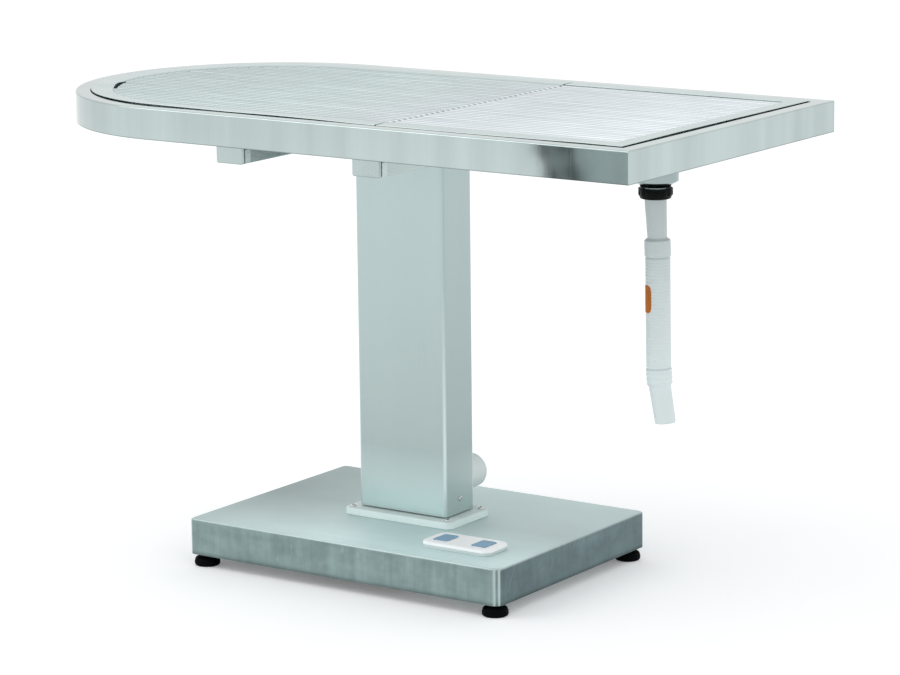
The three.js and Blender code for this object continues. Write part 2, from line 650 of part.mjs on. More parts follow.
// The motor lies along Y behind the gearbox, under a cover with a domed end
function driveMotor() {
  const start = GEARBOX_DEPTH / 2 + SEAT;
  const end = SLEEVE_DEPTH / 2 + MOTOR_PROUD;
  const band = MOTOR_RADIUS - MOTOR_STEP;
  const profile = [[0, start], [band, start], [band, start + MOTOR_BAND], [MOTOR_RADIUS, start + MOTOR_BAND]];
  for (let i = 0; i <= DOME_STEPS; i += 1) {
    const angle = i / DOME_STEPS * Math.PI / 2;
    const radius = MOTOR_FLAT + (MOTOR_RADIUS - MOTOR_FLAT) * Math.cos(angle);
    profile.push([radius, end - MOTOR_DOME * (1 - Math.sin(angle))]);
  }
  const body = turned([...profile, [0, end]]);
  return body.rotate([-90, 0, 0]).translate(MOTOR_X, 0, MOTOR_Z);
}

// A round bar from z0 to z1 with its upper edge chamfered
function bar(radius, z0, z1, chamfer, steps = ROUND_STEPS) {
  return turned([[0, z0], [radius, z0], [radius, z1 - chamfer], [radius - chamfer, z1], [0, z1]], steps);
}

function spindle() {
  const bottom = GEARBOX_TOP - SPINDLE_SOCKET + SEAT;
  return bar(SPINDLE_RADIUS, bottom, NUT_TOP + STROKE + SPINDLE_SPARE, SPINDLE_CHAMFER);
}

function driveNut() {
  const outer = ACTUATOR_TUBE_RADIUS - ACTUATOR_TUBE_WALL - SLIDE;
  return ring(outer, SPINDLE_RADIUS + SLIDE, NUT_BOTTOM, NUT_TOP);
}

function actuatorTube() {
  const bore = ACTUATOR_TUBE_RADIUS - ACTUATOR_TUBE_WALL;
  return ring(ACTUATOR_TUBE_RADIUS, bore, GEARBOX_TOP + SEAT, ACTUATOR_TUBE_TOP);
}

function tubeGland() {
  const bottom = ACTUATOR_TUBE_TOP + SEAT;
  return ring(ACTUATOR_TUBE_RADIUS + GLAND_PROUD, PUSH_TUBE_RADIUS + SLIDE, bottom, bottom + GLAND_HEIGHT);
}

// Push tube from the nut to the head plate, with a flange at its top
function pushTube() {
  const top = SLEEVE_TOP;
  const bore = PUSH_TUBE_RADIUS - PUSH_TUBE_WALL;
  return turned([
    [PUSH_TUBE_RADIUS, NUT_TOP + SEAT], [PUSH_TUBE_RADIUS, top - PUSH_FLANGE_THICK],
    [PUSH_FLANGE_RADIUS, top - PUSH_FLANGE_THICK], [PUSH_FLANGE_RADIUS, top],
    [bore, top], [bore, NUT_TOP + SEAT], [PUSH_TUBE_RADIUS, NUT_TOP + SEAT],
  ]);
}

// Base

// Outline of the base cover moved inwards
const baseOutline = (inset) =>
  roundedRect(BASE_LENGTH - 2 * inset, BASE_WIDTH - 2 * inset, BASE_CORNER - inset);

// Sheet of the base between two heights: flat on top, rounded over at the edge and upright at the sides
function baseSheet(z0, z1) {
  const outer = softSlab(baseOutline(0), FOOT_HEIGHT, BASE_TOP, BASE_EDGE, WIDE_ARC);
  const hollow = slab(baseOutline(BASE_WALL), FOOT_HEIGHT - OVERCUT, COVER_CEILING, WIDE_ARC);
  const band = box(-BASE_LENGTH, BASE_LENGTH, -BASE_WIDTH, BASE_WIDTH, z0, z1);
  return cut(outer, hollow).intersect(band);
}

// Top sheet with its rounded edge
function baseCover() {
  const sheet = baseSheet(BASE_TOP - BASE_EDGE, BASE_TOP);
  return cut(sheet, ...flangeHoles(FLANGE_HOLE_RADIUS, COVER_CEILING, BASE_TOP));
}

// Upright sheet round the base, welded under the rounded edge, with the hole of the mains inlet
function baseSkirt() {
  const sheet = baseSheet(FOOT_HEIGHT, BASE_TOP - BASE_EDGE - SEAT);
  return cut(sheet, inletPlug(SEAT, BASE_WALL + OVERCUT, OVERCUT));
}

// Channel rail along X: web outside, flanges inwards; side is -1 for the front, 1 for the back
function rail(side) {
  const outer = side * FRAME_WIDTH / 2;
  const inner = outer - side * RAIL_WIDTH;
  const half = FRAME_LENGTH / 2;
  const [y0, y1] = [Math.min(outer, inner), Math.max(outer, inner)];
  const shift = -side * RAIL_WALL;
  const block = box(-half, half, y0, y1, FRAME_BOTTOM, FRAME_TOP);
  const hollow = box(-half - OVERCUT, half + OVERCUT, y0 + shift, y1 + shift,
    FRAME_BOTTOM + RAIL_WALL, FRAME_TOP - RAIL_WALL);
  return cut(block, hollow);
}

// Channel between the rails, carrying the column plate; side is -1 for the left, 1 for the right
function crossMember(side) {
  const outer = side * CROSS_SPACING / 2;
  const inner = outer - side * RAIL_WIDTH;
  const half = FRAME_WIDTH / 2 - RAIL_WALL / 2;
  const [x0, x1] = [Math.min(outer, inner), Math.max(outer, inner)];
  const shift = -side * RAIL_WALL;
  const block = box(x0, x1, -half, half, FRAME_BOTTOM, FRAME_TOP);
  const hollow = box(x0 + shift, x1 + shift, -half - OVERCUT, half + OVERCUT,
    FRAME_BOTTOM + RAIL_WALL, FRAME_TOP - RAIL_WALL);
  return cut(block, hollow);
}

function baseFrame() {
  const studHole = disc(STUD_RADIUS + HOLE_CLEAR, FRAME_BOTTOM - OVERCUT,
    FRAME_BOTTOM + RAIL_WALL + OVERCUT, BOLT_STEPS);
  const holes = corners(FOOT_X, FOOT_Y).map(([x, y]) => studHole.translate(x, y, 0));
  const room = slab(baseOutline(BASE_WALL + SEAT), FRAME_BOTTOM - OVERCUT, FRAME_TOP + OVERCUT, WIDE_ARC);
  const welded = join(rail(-1), rail(1), crossMember(-1), crossMember(1));
  return cut(welded.intersect(room), inletPlug(SEAT, INLET_DEPTH + SEAT, OVERCUT), ...holes);
}

function columnPlate() {
  const half = CROSS_SPACING / 2;
  const reach = FRAME_WIDTH / 2 - BASE_EDGE;
  const plate = box(-half, half, -reach, reach, PLATE_TOP - PLATE_THICK, PLATE_TOP);
  return cut(plate, ...flangeHoles(FLANGE_HOLE_RADIUS, PLATE_TOP - PLATE_THICK, PLATE_TOP));
}

// Power supply and controller, hung under the cover
function controlBox() {
  const shape = roundedRect(CONTROL_RIGHT - CONTROL_LEFT, CONTROL_WIDTH, CONTROL_CORNER, CONTROL_X);
  const top = COVER_CEILING - SEAT;
  return slab(shape, top - CONTROL_HEIGHT, top);
}

// Body of the mains inlet in the back of the skirt, grown by a clearance, from a depth inside the skirt
// to a little proud of it
function inletPlug(grow, depth, proud) {
  const z = FOOT_HEIGHT + BASE_HEIGHT / 2;
  const y = BASE_WIDTH / 2;
  return box(CONTROL_X - INLET_WIDTH / 2 - grow, CONTROL_X + INLET_WIDTH / 2 + grow,
    y - depth, y + proud, z - INLET_HEIGHT / 2 - grow, z + INLET_HEIGHT / 2 + grow);
}

function mainsInlet() {
  const proud = SEAT + INLET_LIP_THICK;
  const lip = inletPlug(INLET_LIP, -SEAT, proud);
  const mouth = inletPlug(-INLET_WALL, INLET_DEPTH - INLET_WALL, proud + OVERCUT);
  return cut(join(inletPlug(0, INLET_DEPTH, proud), lip), mouth);
}

// Rubber pad of a levelling foot, standing on the floor
function footPad() {
  const slope = FOOT_RADIUS - FOOT_SLOPE;
  const collar = STUD_RADIUS + FOOT_COLLAR;
  const top = FOOT_HEIGHT - SEAT;
  const pad = turned([
    [0, 0], [FOOT_RADIUS - FOOT_SOLE_BEVEL, 0], [FOOT_RADIUS, FOOT_SOLE_BEVEL],
    [FOOT_RADIUS, FOOT_BAND_TOP], [slope, FOOT_SLOPE_TOP], [collar, FOOT_SHOULDER_TOP],
    [collar, top], [0, top],
  ], FOOT_STEPS);
  return cut(pad, disc(STUD_RADIUS + SEAT, top - STUD_SOCKET, top + OVERCUT, BOLT_STEPS));
}

function footStud() {
  return bar(STUD_RADIUS, FOOT_HEIGHT - STUD_SOCKET, FOOT_HEIGHT + STUD_RISE, STUD_CHAMFER, BOLT_STEPS);
}

// Foot switch

const switchOutline = (inset) => roundedRect(SWITCH_LENGTH - 2 * inset, SWITCH_WIDTH - 2 * inset,
  SWITCH_CORNER - inset, SWITCH_X, SWITCH_Y);
const buttonOutline = (x, grow) => roundedRect(BUTTON_LENGTH + 2 * grow, BUTTON_WIDTH + 2 * grow,
  BUTTON_CORNER, x, SWITCH_Y);
const BUTTON_PLACES = { up: SWITCH_X - BUTTON_SPACING / 2, down: SWITCH_X + BUTTON_SPACING / 2 };

function switchHousing() {
  const shell = softSlab(switchOutline(0), SWITCH_BOTTOM, SWITCH_TOP, SWITCH_EDGE, CLOSE_ARC, EDGE_STEPS + 1);
  const hollow = slab(switchOutline(SWITCH_WALL), SWITCH_BOTTOM - OVERCUT, SWITCH_TOP - SWITCH_WALL,
    CLOSE_ARC);
  const windows = Object.values(BUTTON_PLACES).map((x) =>
    slab(buttonOutline(x, SLIDE), SWITCH_BOTTOM, SWITCH_TOP + OVERCUT));
  return cut(shell, hollow, ...windows);
}

function switchPlate() {
  return slab(switchOutline(SWITCH_WALL + SEAT), SWITCH_BOTTOM, SWITCH_BOTTOM + SWITCH_PLATE, WIDE_ARC);
}

// Pedal pad with a lip that holds it under the housing's top
function button(x) {
  const lipTop = SWITCH_TOP - SWITCH_WALL - SEAT;
  const lip = slab(buttonOutline(x, BUTTON_LIP), lipTop - BUTTON_LIP_THICK, lipTop);
  const pad = softSlab(buttonOutline(x, 0), lipTop - BUTTON_LIP_THICK / 2, SWITCH_TOP + BUTTON_PROUD,
    BUTTON_EDGE);
  return join(lip, pad);
}

function microSwitch(x) {
  const bottom = SWITCH_BOTTOM + SWITCH_PLATE + SEAT;
  const top = SWITCH_TOP - SWITCH_WALL - SEAT - BUTTON_LIP_THICK - BUTTON_TRAVEL - SEAT;
  return box(x - MICRO_LENGTH / 2, x + MICRO_LENGTH / 2,
    SWITCH_Y - MICRO_WIDTH / 2, SWITCH_Y + MICRO_WIDTH / 2, bottom, top);
}

// Drain, about its own axis

function drainSeal() {
  const top = SUMP_FLOOR - PAN_SHEET - SEAT;
  return ring(CUP_RADIUS, CUP_RADIUS - CUP_WALL, top - DRAIN_SEAL, top);
}

// Cup with a coned bottom and a neck for the union nut
function drainCup() {
  const coneTop = CUP_TOP - CUP_HEIGHT;
  const bore = NECK_RADIUS - NECK_WALL;
  return turned([
    [NECK_RADIUS, NECK_BOTTOM], [NECK_RADIUS, CUP_BOTTOM], [NECK_RADIUS + CUP_FOOT, CUP_BOTTOM],
    [CUP_RADIUS, coneTop], [CUP_RADIUS, CUP_TOP], [CUP_RADIUS - CUP_WALL, CUP_TOP],
    [CUP_RADIUS - CUP_WALL, coneTop + CUP_WALL], [bore, CUP_BOTTOM + CUP_WALL], [bore, NECK_BOTTOM],
    [NECK_RADIUS, NECK_BOTTOM],
  ]);
}

function neckSeal() {
  const top = CUP_BOTTOM - SEAT;
  return ring(NECK_RADIUS + NECK_SEAL_WIDTH, NECK_RADIUS + SEAT, top - NECK_SEAL, top);
}

// Slotted strainer plate in the sump
function drainStrainer() {
  const bottom = SUMP_FLOOR + SEAT;
  const plate = disc(SUMP_RADIUS - SEAT, bottom, bottom + PAN_SHEET);
  const outer = CUP_RADIUS - CUP_WALL - STRAINER_MARGIN;
  const slot = box(STRAINER_HUB, outer, -STRAINER_SLOT_WIDTH / 2, STRAINER_SLOT_WIDTH / 2,
    bottom - OVERCUT, bottom + PAN_SHEET + OVERCUT);
  const slots = [];
  for (let i = 0; i < STRAINER_SLOTS; i += 1) slots.push(slot.rotate([0, 0, i * 360 / STRAINER_SLOTS]));
  return cut(plate, ...slots);
}

// Ribbed union nut: grips the neck, and its lip holds the hose's flange
function unionNut() {
  const points = [];
  for (let i = 0; i < 2 * UNION_RIBS; i += 1) {
    const radius = i % 2 ? UNION_RADIUS - UNION_RIB : UNION_RADIUS;
    for (const end of [0, 1 / 2]) {
      const angle = (i + end) * Math.PI / UNION_RIBS;
      points.push(new THREE.Vector2(radius * Math.cos(angle), radius * Math.sin(angle)));
    }
  }
  const outline = new THREE.Shape(points);
  const lipTop = UNION_BOTTOM + UNION_LIP;
  const grip = slab(outline, lipTop, UNION_TOP);
  const lip = turned([
    [0, UNION_BOTTOM], [UNION_RADIUS - 2 * UNION_RIB, UNION_BOTTOM],
    [UNION_RADIUS - UNION_RIB, lipTop + UNION_RIB / 2], [0, lipTop + UNION_RIB / 2],
  ]);
  const thread = disc(NECK_RADIUS + SEAT, lipTop, UNION_TOP + OVERCUT);
  const mouth = disc(HOSE_TOP_RADIUS + SEAT, UNION_BOTTOM - OVERCUT, UNION_TOP, HOSE_STEPS);
  return cut(join(grip, lip), thread, mouth);
}

// Waste hose, about the drain's axis

function hoseUpperCuff() {
  const wall = HOSE_WALL;
  const flange = NECK_RADIUS - HOSE_FLANGE_SETBACK;
  const flangeBottom = UNION_BOTTOM + UNION_LIP + SEAT;
  const bottom = HOSE_TAPER_END - HOSE_COLLAR;
  return turned([
    [HOSE_COLLAR_RADIUS, bottom], [HOSE_COLLAR_RADIUS, HOSE_TAPER_END],
    [HOSE_TIP_RADIUS, HOSE_TAPER_END + HOSE_SHOULDER], [HOSE_TOP_RADIUS, UNION_BOTTOM],
    [HOSE_TOP_RADIUS, flangeBottom], [flange, flangeBottom], [flange, HOSE_TOP],
    [HOSE_TOP_RADIUS - wall, HOSE_TOP], [HOSE_TOP_RADIUS - wall, UNION_BOTTOM],
    [HOSE_TIP_RADIUS - wall, HOSE_TAPER_END], [HOSE_TIP_RADIUS - wall, bottom], [HOSE_COLLAR_RADIUS, bottom],
  ], HOSE_STEPS);
}

// Corrugated stretch as a plain tube along its hanging route
function hoseBody() {
  const section = new THREE.Shape().absarc(0, 0, HOSE_BODY_RADIUS, 0, 2 * Math.PI);
  section.holes.push(new THREE.Path().absarc(0, 0, HOSE_BODY_RADIUS - HOSE_WALL, 0, 2 * Math.PI, true));
  const third = HOSE_BODY / 3;
  const easing = third * Math.tan(THREE.MathUtils.degToRad(HOSE_LEAN));
  const route = new THREE.CubicBezierCurve3(
    new THREE.Vector3(0, 0, 0),
    new THREE.Vector3(0, 0, -third),
    new THREE.Vector3(HOSE_DRIFT - easing, 0, -2 * third),
    new THREE.Vector3(HOSE_DRIFT, 0, -HOSE_BODY),
  );
  const options = { steps: HOSE_BENDS, extrudePath: route, curveSegments: HOSE_STEPS / 2 };
  return solid(new THREE.ExtrudeGeometry(section, options));
}

// Lower cuff with its plain tail, which leans outwards; the cuff's upper face is at zero
function hoseLowerCuff() {
  const bore = HOSE_TAIL_RADIUS - HOSE_WALL;
  const atTail = (body) => body.rotate([0, -HOSE_TAIL_LEAN, 0]).translate(0, 0, OVERCUT - HOSE_CUFF);
  const cuff = turned([
    [0, -HOSE_CUFF], [HOSE_CUFF_RADIUS - CUFF_BEVEL, -HOSE_CUFF], [HOSE_CUFF_RADIUS, CUFF_BEVEL - HOSE_CUFF],
    [HOSE_CUFF_RADIUS, -CUFF_EDGE], [HOSE_CUFF_RADIUS - CUFF_EDGE, 0], [0, 0],
  ], HOSE_STEPS);
  const tail = disc(HOSE_TAIL_RADIUS, -HOSE_TAIL, 0, HOSE_STEPS);
  const tailBore = disc(bore, -HOSE_TAIL - OVERCUT, HOSE_CUFF / 2, HOSE_STEPS);
  const cuffBore = disc(bore, -HOSE_CUFF / 2, OVERCUT, HOSE_STEPS);
  return cut(join(cuff, atTail(tail)), cuffBore, atTail(tailBore));
}

// Assembly

const table = new THREE.Group();

function add(group, name, body, material, x = 0, y = 0, z = 0) {
  const mesh = new THREE.Mesh(geometryOf(body), material());
  mesh.name = name;
  mesh.position.set(x, y, z);
  group.add(mesh);
  return mesh;
}

const QUARTERS = ['front_left', 'front_right', 'back_right', 'back_left'];

function buildBase() {
  const base = new THREE.Group();
  base.position.x = COLUMN_X;
  add(base, 'base_cover', baseCover(), baseSteel);
  add(base, 'base_skirt', baseSkirt(), baseSteel);
  add(base, 'base_frame', baseFrame(), darkPaint);
  add(base, 'column_plate', columnPlate(), darkPaint);
  add(base, 'control_box', controlBox(), blackPlastic);
  add(base, 'mains_inlet', mainsInlet(), blackPlastic);
  add(base, 'column_flange', columnFlange(), satinSteel);
  corners(FOOT_X, FOOT_Y).forEach(([x, y], i) => {
    add(base, `foot_pad_${QUARTERS[i]}`, footPad(), blackRubber, x, y);
    add(base, `foot_stud_${QUARTERS[i]}`, footStud(), plainSteel, x, y);
  });
  return base;
}

function buildSwitch() {
  const pedal = new THREE.Group();
  add(pedal, 'switch_housing', switchHousing(), whitePlastic);
  add(pedal, 'switch_plate', switchPlate(), plainSteel);
  for (const [name, x] of Object.entries(BUTTON_PLACES)) {
    add(pedal, `button_${name}`, button(x), bluePad);
    add(pedal, `micro_switch_${name}`, microSwitch(x), blackPlastic);
  }
  return pedal;
}

function buildFixedColumn() {
  const column = new THREE.Group();
  column.position.x = COLUMN_X;
  add(column, 'inner_column', innerColumn(), plainSteel);
  add(column, 'guide_upper', upperGuide(), slidePlastic);
  add(column, 'actuator_gearbox', gearbox(), darkPaint);
  add(column, 'drive_motor', driveMotor(), palePlastic);
  add(column, 'actuator_tube', actuatorTube(), plainSteel);
  add(column, 'tube_gland', tubeGland(), blackPlastic);
  add(column, 'spindle', spindle(), plainSteel);
  return column;
}

function buildLiftingColumn() {
  const column = new THREE.Group();
  column.position.x = COLUMN_X;
  add(column, 'column_sleeve', columnSleeve(), satinSteel);
  add(column, 'guide_lower', lowerGuide(), slidePlastic);
  add(column, 'drive_nut', driveNut(), slidePlastic);
  add(column, 'push_tube', pushTube(), plainSteel);
  add(column, 'head_plate', headPlate(), plainSteel);
  return column;
}

function buildTop() {
  const top = new THREE.Group();
  add(top, 'rim_frame', rimFrame(), satinSteel);
  add(top, 'tray_floor', trayFloor(), satinSteel);
  add(top, 'tray_wall', trayWall(), satinSteel);
  add(top, 'grate_round', roundGrate(), satinSteel);
  add(top, 'grate_square', squareGrate(), satinSteel);
  const z = BEAM_TOP - BEAM_HEIGHT / 2;
  [['left', -1], ['right', 1]].forEach(([name, side]) => {
    const x = COLUMN_X + side * BEAM_SPACING / 2;
    add(top, `cross_beam_${name}`, crossBeam(), satinSteel, x, 0, z);
    add(top, `beam_cap_${name}_front`, beamCap(), satinSteel, x, -TOP_WIDTH / 2, z);
    add(top, `beam_cap_${name}_back`, beamCap(), satinSteel, x, TOP_WIDTH / 2, z).rotation.z = Math.PI;
  });
  return top;
}

function buildDrain() {
  const drain = new THREE.Group();
  drain.position.x = DRAIN_X;
  add(drain, 'drain_strainer', drainStrainer(), satinSteel);
  add(drain, 'drain_seal', drainSeal(), blackRubber);
  add(drain, 'drain_cup', drainCup(), satinSteel);
  add(drain, 'neck_seal', neckSeal(), blackRubber);
  add(drain, 'union_nut', unionNut(), blackPlastic);
  add(drain, 'hose_upper_cuff', hoseUpperCuff(), whitePlastic);
  add(drain, 'hose_body', hoseBody(), whitePlastic, 0, 0, HOSE_BODY_TOP);
  const cuff = add(drain, 'hose_lower_cuff', hoseLowerCuff(), whitePlastic,
    HOSE_DRIFT, 0, HOSE_BODY_TOP - HOSE_BODY - SEAT);
  cuff.rotation.y = -THREE.MathUtils.degToRad(HOSE_LEAN);
  return drain;
}

table.add(buildBase(), buildSwitch(), buildFixedColumn(), buildLiftingColumn(), buildTop(), buildDrain());

export default table;
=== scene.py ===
# %% [markdown]
# A veterinary examination table, dressed for its portrait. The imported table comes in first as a
# fixed frame in metres: every solid already sits where it belongs, with +X towards the square end
# that holds the drain, -Y towards the side where the vet stands and +Z up. This lesson keeps the
# plain solids that already look right and lays finer surfaces over the ones that the light shows up.

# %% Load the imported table
import math

import bmesh
import bpy
import numpy as np
from mathutils import Matrix


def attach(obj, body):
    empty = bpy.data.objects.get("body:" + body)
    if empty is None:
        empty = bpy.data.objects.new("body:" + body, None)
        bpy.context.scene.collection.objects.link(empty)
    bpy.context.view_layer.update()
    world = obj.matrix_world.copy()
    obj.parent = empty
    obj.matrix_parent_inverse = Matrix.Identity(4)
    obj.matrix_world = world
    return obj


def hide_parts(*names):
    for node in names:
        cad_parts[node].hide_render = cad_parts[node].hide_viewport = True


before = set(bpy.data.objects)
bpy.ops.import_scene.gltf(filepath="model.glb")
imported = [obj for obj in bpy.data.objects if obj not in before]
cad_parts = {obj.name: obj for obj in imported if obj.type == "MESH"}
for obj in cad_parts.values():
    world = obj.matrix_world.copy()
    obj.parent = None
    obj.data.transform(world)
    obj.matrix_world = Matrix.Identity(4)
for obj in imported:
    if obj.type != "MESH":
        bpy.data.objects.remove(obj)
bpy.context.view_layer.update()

scene = bpy.context.scene
MM = 0.001

# %% [markdown]
# The camera comes before anything else. A photograph of a box-like thing fixes the camera that took
# it: the edges that run along X, Y and Z meet in vanishing points, and those give the turn, the tilt
# and the focal length. Here they are written as angles, and turned into the three axes that a camera
# object needs. A long lens, far away, keeps the table's edges nearly parallel.

# %% Camera
FOCAL_PIXELS = 3578.9
IMAGE_WIDTH, IMAGE_HEIGHT = 900, 675
CENTRE_X, CENTRE_Y = 455.488, 337.860
EYE = np.array([3.261376, -4.648587, 1.537588])
TURN, TILT, LEAN = (math.radians(a) for a in (34.356, 11.586, -0.594))


def camera_axes(turn, tilt, lean):
    """Right, up and backward axes of a camera that looks along +Y, turned about Z, then tilted down,
    then leaned about its own line of sight."""
    ahead = np.array([-math.sin(turn) * math.cos(tilt), math.cos(turn) * math.cos(tilt), -math.sin(tilt)])
    right = np.array([math.cos(turn), math.sin(turn), 0.0])
    up = np.cross(right, ahead)
    leaned_right = math.cos(lean) * right + math.sin(lean) * up
    leaned_up = math.cos(lean) * up - math.sin(lean) * right
    return np.stack([leaned_right, leaned_up, -ahead], 1)


lens = bpy.data.cameras.new("portrait_camera")
lens.sensor_width = 36
lens.sensor_fit = "HORIZONTAL"
lens.lens = lens.sensor_width * FOCAL_PIXELS / IMAGE_WIDTH
lens.shift_x = (IMAGE_WIDTH / 2 - CENTRE_X) / IMAGE_WIDTH
lens.shift_y = (CENTRE_Y - IMAGE_HEIGHT / 2) / IMAGE_WIDTH
lens.clip_end = 60
place = np.eye(4)
place[:3, :3] = camera_axes(TURN, TILT, LEAN)
place[:3, 3] = EYE
camera = bpy.data.objects.new("portrait_camera", lens)
camera.matrix_world = Matrix(place.tolist())
scene.collection.objects.link(camera)
scene.camera = camera
print("camera lens", round(lens.lens, 2), "mm")

# %% [markdown]
# Nearly every piece here is a grid: one index runs along a path and the other round a profile. If the
# points are computed as one array, the faces follow from counting, so a single helper can make them
# all. Poles and doubled corners are merged afterwards, and the normals are turned outwards once the
# shell is closed.

# %% Grids, meshes and smooth shading
def grid_faces(rows, columns, wrap_rows=False, wrap_columns=False):
    """Quads of a grid counted row by row: each point joins the next in its row and the next row."""
    a, b = np.meshgrid(np.arange(rows if wrap_rows else rows - 1),
                       np.arange(columns if wrap_columns else columns - 1), indexing="ij")
    c, d = (a + 1) % rows, (b + 1) % columns
    return np.stack([a * columns + b, c * columns + b, c * columns + d, a * columns + d], -1).reshape(-1, 4)


def make_piece(name, shells, body, finish, replaces=(), crease=32):
    """A mesh from shells of (points in millimetres, faces), merged, turned outwards and shaded smooth
    up to an edge angle of crease degrees, with normals weighted by area so that flat faces stay flat
    beside a fold. It rides on a body and may stand for solids."""
    points, faces, start = [], [], 0
    for shell_points, shell_faces in shells:
        flat = np.asarray(shell_points, float).reshape(-1, 3)
        points.append(flat)
        faces += [[int(i) + start for i in face] for face in shell_faces]
        start += len(flat)
    mesh = bpy.data.meshes.new(name)
    mesh.from_pydata((np.concatenate(points) * MM).tolist(), [], faces)
    work = bmesh.new()
    work.from_mesh(mesh)
    bmesh.ops.remove_doubles(work, verts=work.verts, dist=2e-6)
    bmesh.ops.dissolve_degenerate(work, edges=work.edges, dist=1e-6)
    bmesh.ops.recalc_face_normals(work, faces=work.faces)
    work.to_mesh(mesh)
    work.free()
    mesh.polygons.foreach_set("use_smooth", np.ones(len(mesh.polygons), bool))
    mesh.set_sharp_from_angle(angle=math.radians(crease))
    mesh.materials.append(finish)
    piece = bpy.data.objects.new(name, mesh)
    scene.collection.objects.link(piece)
    even = piece.modifiers.new("even_shade", "WEIGHTED_NORMAL")
    even.keep_sharp = True
    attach(piece, body)
    if replaces:
        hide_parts(*replaces)
    return piece


def rounded(corners, radii, steps=4):
    """A polygon with its corners rounded: at each corner the arc of the given radius that touches both
    edges, whose centre lies on the bisector."""
    p = np.asarray(corners, float)
    r = np.broadcast_to(np.asarray(radii, float), len(p))[:, None]
    back, ahead = np.roll(p, 1, 0) - p, np.roll(p, -1, 0) - p
    back /= np.linalg.norm(back, axis=1, keepdims=True)
    ahead /= np.linalg.norm(ahead, axis=1, keepdims=True)
    between = np.arccos(np.clip((back * ahead).sum(1), -1, 1))[:, None]
    bisector = back + ahead
    bisector /= np.maximum(np.linalg.norm(bisector, axis=1, keepdims=True), 1e-9)
    centre = p + bisector * r / np.sin(between / 2)
    first = p + back * r / np.tan(between / 2) - centre
    sign = np.sign(back[:, 0] * ahead[:, 1] - back[:, 1] * ahead[:, 0])[:, None]
    angle = -sign * (math.pi - between) * np.linspace(0, 1, steps + 1)[None]
    x = centre[:, :1] + first[:, :1] * np.cos(angle) - first[:, 1:] * np.sin(angle)
    y = centre[:, 1:] + first[:, :1] * np.sin(angle) + first[:, 1:] * np.cos(angle)
    return np.stack([x, y], -1).reshape(-1, 2)


def turned(profile, steps=48, axis="z", centre=(0, 0, 0)):
    """A profile of (radius, height) turned about an axis: x and y are radius times cosine and sine."""
    r, h = np.asarray(profile, float).T
    turn = np.linspace(0, 2 * math.pi, steps, endpoint=False)
    x, y = r[:, None] * np.cos(turn), r[:, None] * np.sin(turn)
    z = np.broadcast_to(h[:, None], x.shape)
    order = {"z": (x, y, z), "y": (x, z, y), "x": (z, x, y)}[axis]
    points = np.stack(order, -1) + np.asarray(centre, float)
    return points, grid_faces(len(r), steps, wrap_columns=True)


print("helpers ready")

# %% [markdown]
# The studio. The table is pale metal on white, so what shows its form is what it mirrors: a white world
# all round, a white floor that is darker only in the table's own shade, and one large soft lamp high on
# the left that draws a line along each fold. Four dark boards stand out of sight on the left. They could
# be left out, but the polished rim then mirrors nothing but white; with them it carries the dark streaks
# near its square corner that a product photographer's black cards give.

# %% World, floor and lamp
FLOOR_WHITE, FLOOR_LIFT = (0.965, 0.965, 0.965, 1), 0.16


def seen_directly(tree):
    """One where a ray comes from the camera, from a mirror or through glass, and zero for diffuse light."""
    path = tree.nodes.new("ShaderNodeLightPath")
    value = path.outputs["Is Camera Ray"]
    for kind in ("Is Glossy Ray", "Is Transmission Ray"):
        either = tree.nodes.new("ShaderNodeMath")
        either.operation = "MAXIMUM"
        tree.links.new(value, either.inputs[0])
        tree.links.new(path.outputs[kind], either.inputs[1])
        value = either.outputs[0]
    return value


scene.view_settings.view_transform = "Standard"
world = bpy.data.worlds.new("white_studio")
scene.world = world
world.use_nodes = True
tree = world.node_tree
tree.nodes.clear()
out = tree.nodes.new("ShaderNodeOutputWorld")
seen = tree.nodes.new("ShaderNodeBackground")
seen.inputs["Color"].default_value = (1, 1, 1, 1)
seen.inputs["Strength"].default_value = 1.0
fill = tree.nodes.new("ShaderNodeBackground")
fill.inputs["Color"].default_value = (0.97, 0.985, 1.0, 1)
fill.inputs["Strength"].default_value = 0.95
mix = tree.nodes.new("ShaderNodeMixShader")
tree.links.new(seen_directly(tree), mix.inputs[0])
tree.links.new(fill.outputs[0], mix.inputs[1])
tree.links.new(seen.outputs[0], mix.inputs[2])
tree.links.new(mix.outputs[0], out.inputs[0])


def stage_sheet(name, points, faces, finish):
    """A flat stage piece, its points in metres."""
    mesh = bpy.data.meshes.new(name)
    mesh.from_pydata(points, [], faces)
    mesh.materials.append(finish)
    sheet = bpy.data.objects.new(name, mesh)
    scene.collection.objects.link(sheet)
    return sheet


def plain_finish(name, color, roughness):
    """A one-colour finish for stage pieces only."""
    finish = bpy.data.materials.new(name)
    finish.use_nodes = True
    shader = finish.node_tree.nodes["Principled BSDF"]
    shader.inputs["Base Color"].default_value = color
    shader.inputs["Roughness"].default_value = roughness
    shader.inputs["Specular IOR Level"].default_value = 0.0
    return finish


def soft_lamp(name, place, target, size, power):
    """A square area lamp at place, aimed at target, in metres and watts."""
    data = bpy.data.lights.new(name, "AREA")
    data.shape = "SQUARE"
    data.size = size
    data.energy = power
    lamp = bpy.data.objects.new(name, data)
    away = np.asarray(place, float) - np.asarray(target, float)
    away /= np.linalg.norm(away)
    side = np.cross([0, 0, 1.0], away)
    side /= np.linalg.norm(side)
    turn = np.eye(4)
    turn[:3, :3] = np.stack([side, np.cross(away, side), away], 1)
    turn[:3, 3] = place
    lamp.matrix_world = Matrix(turn.tolist())
    scene.collection.objects.link(lamp)
    return lamp


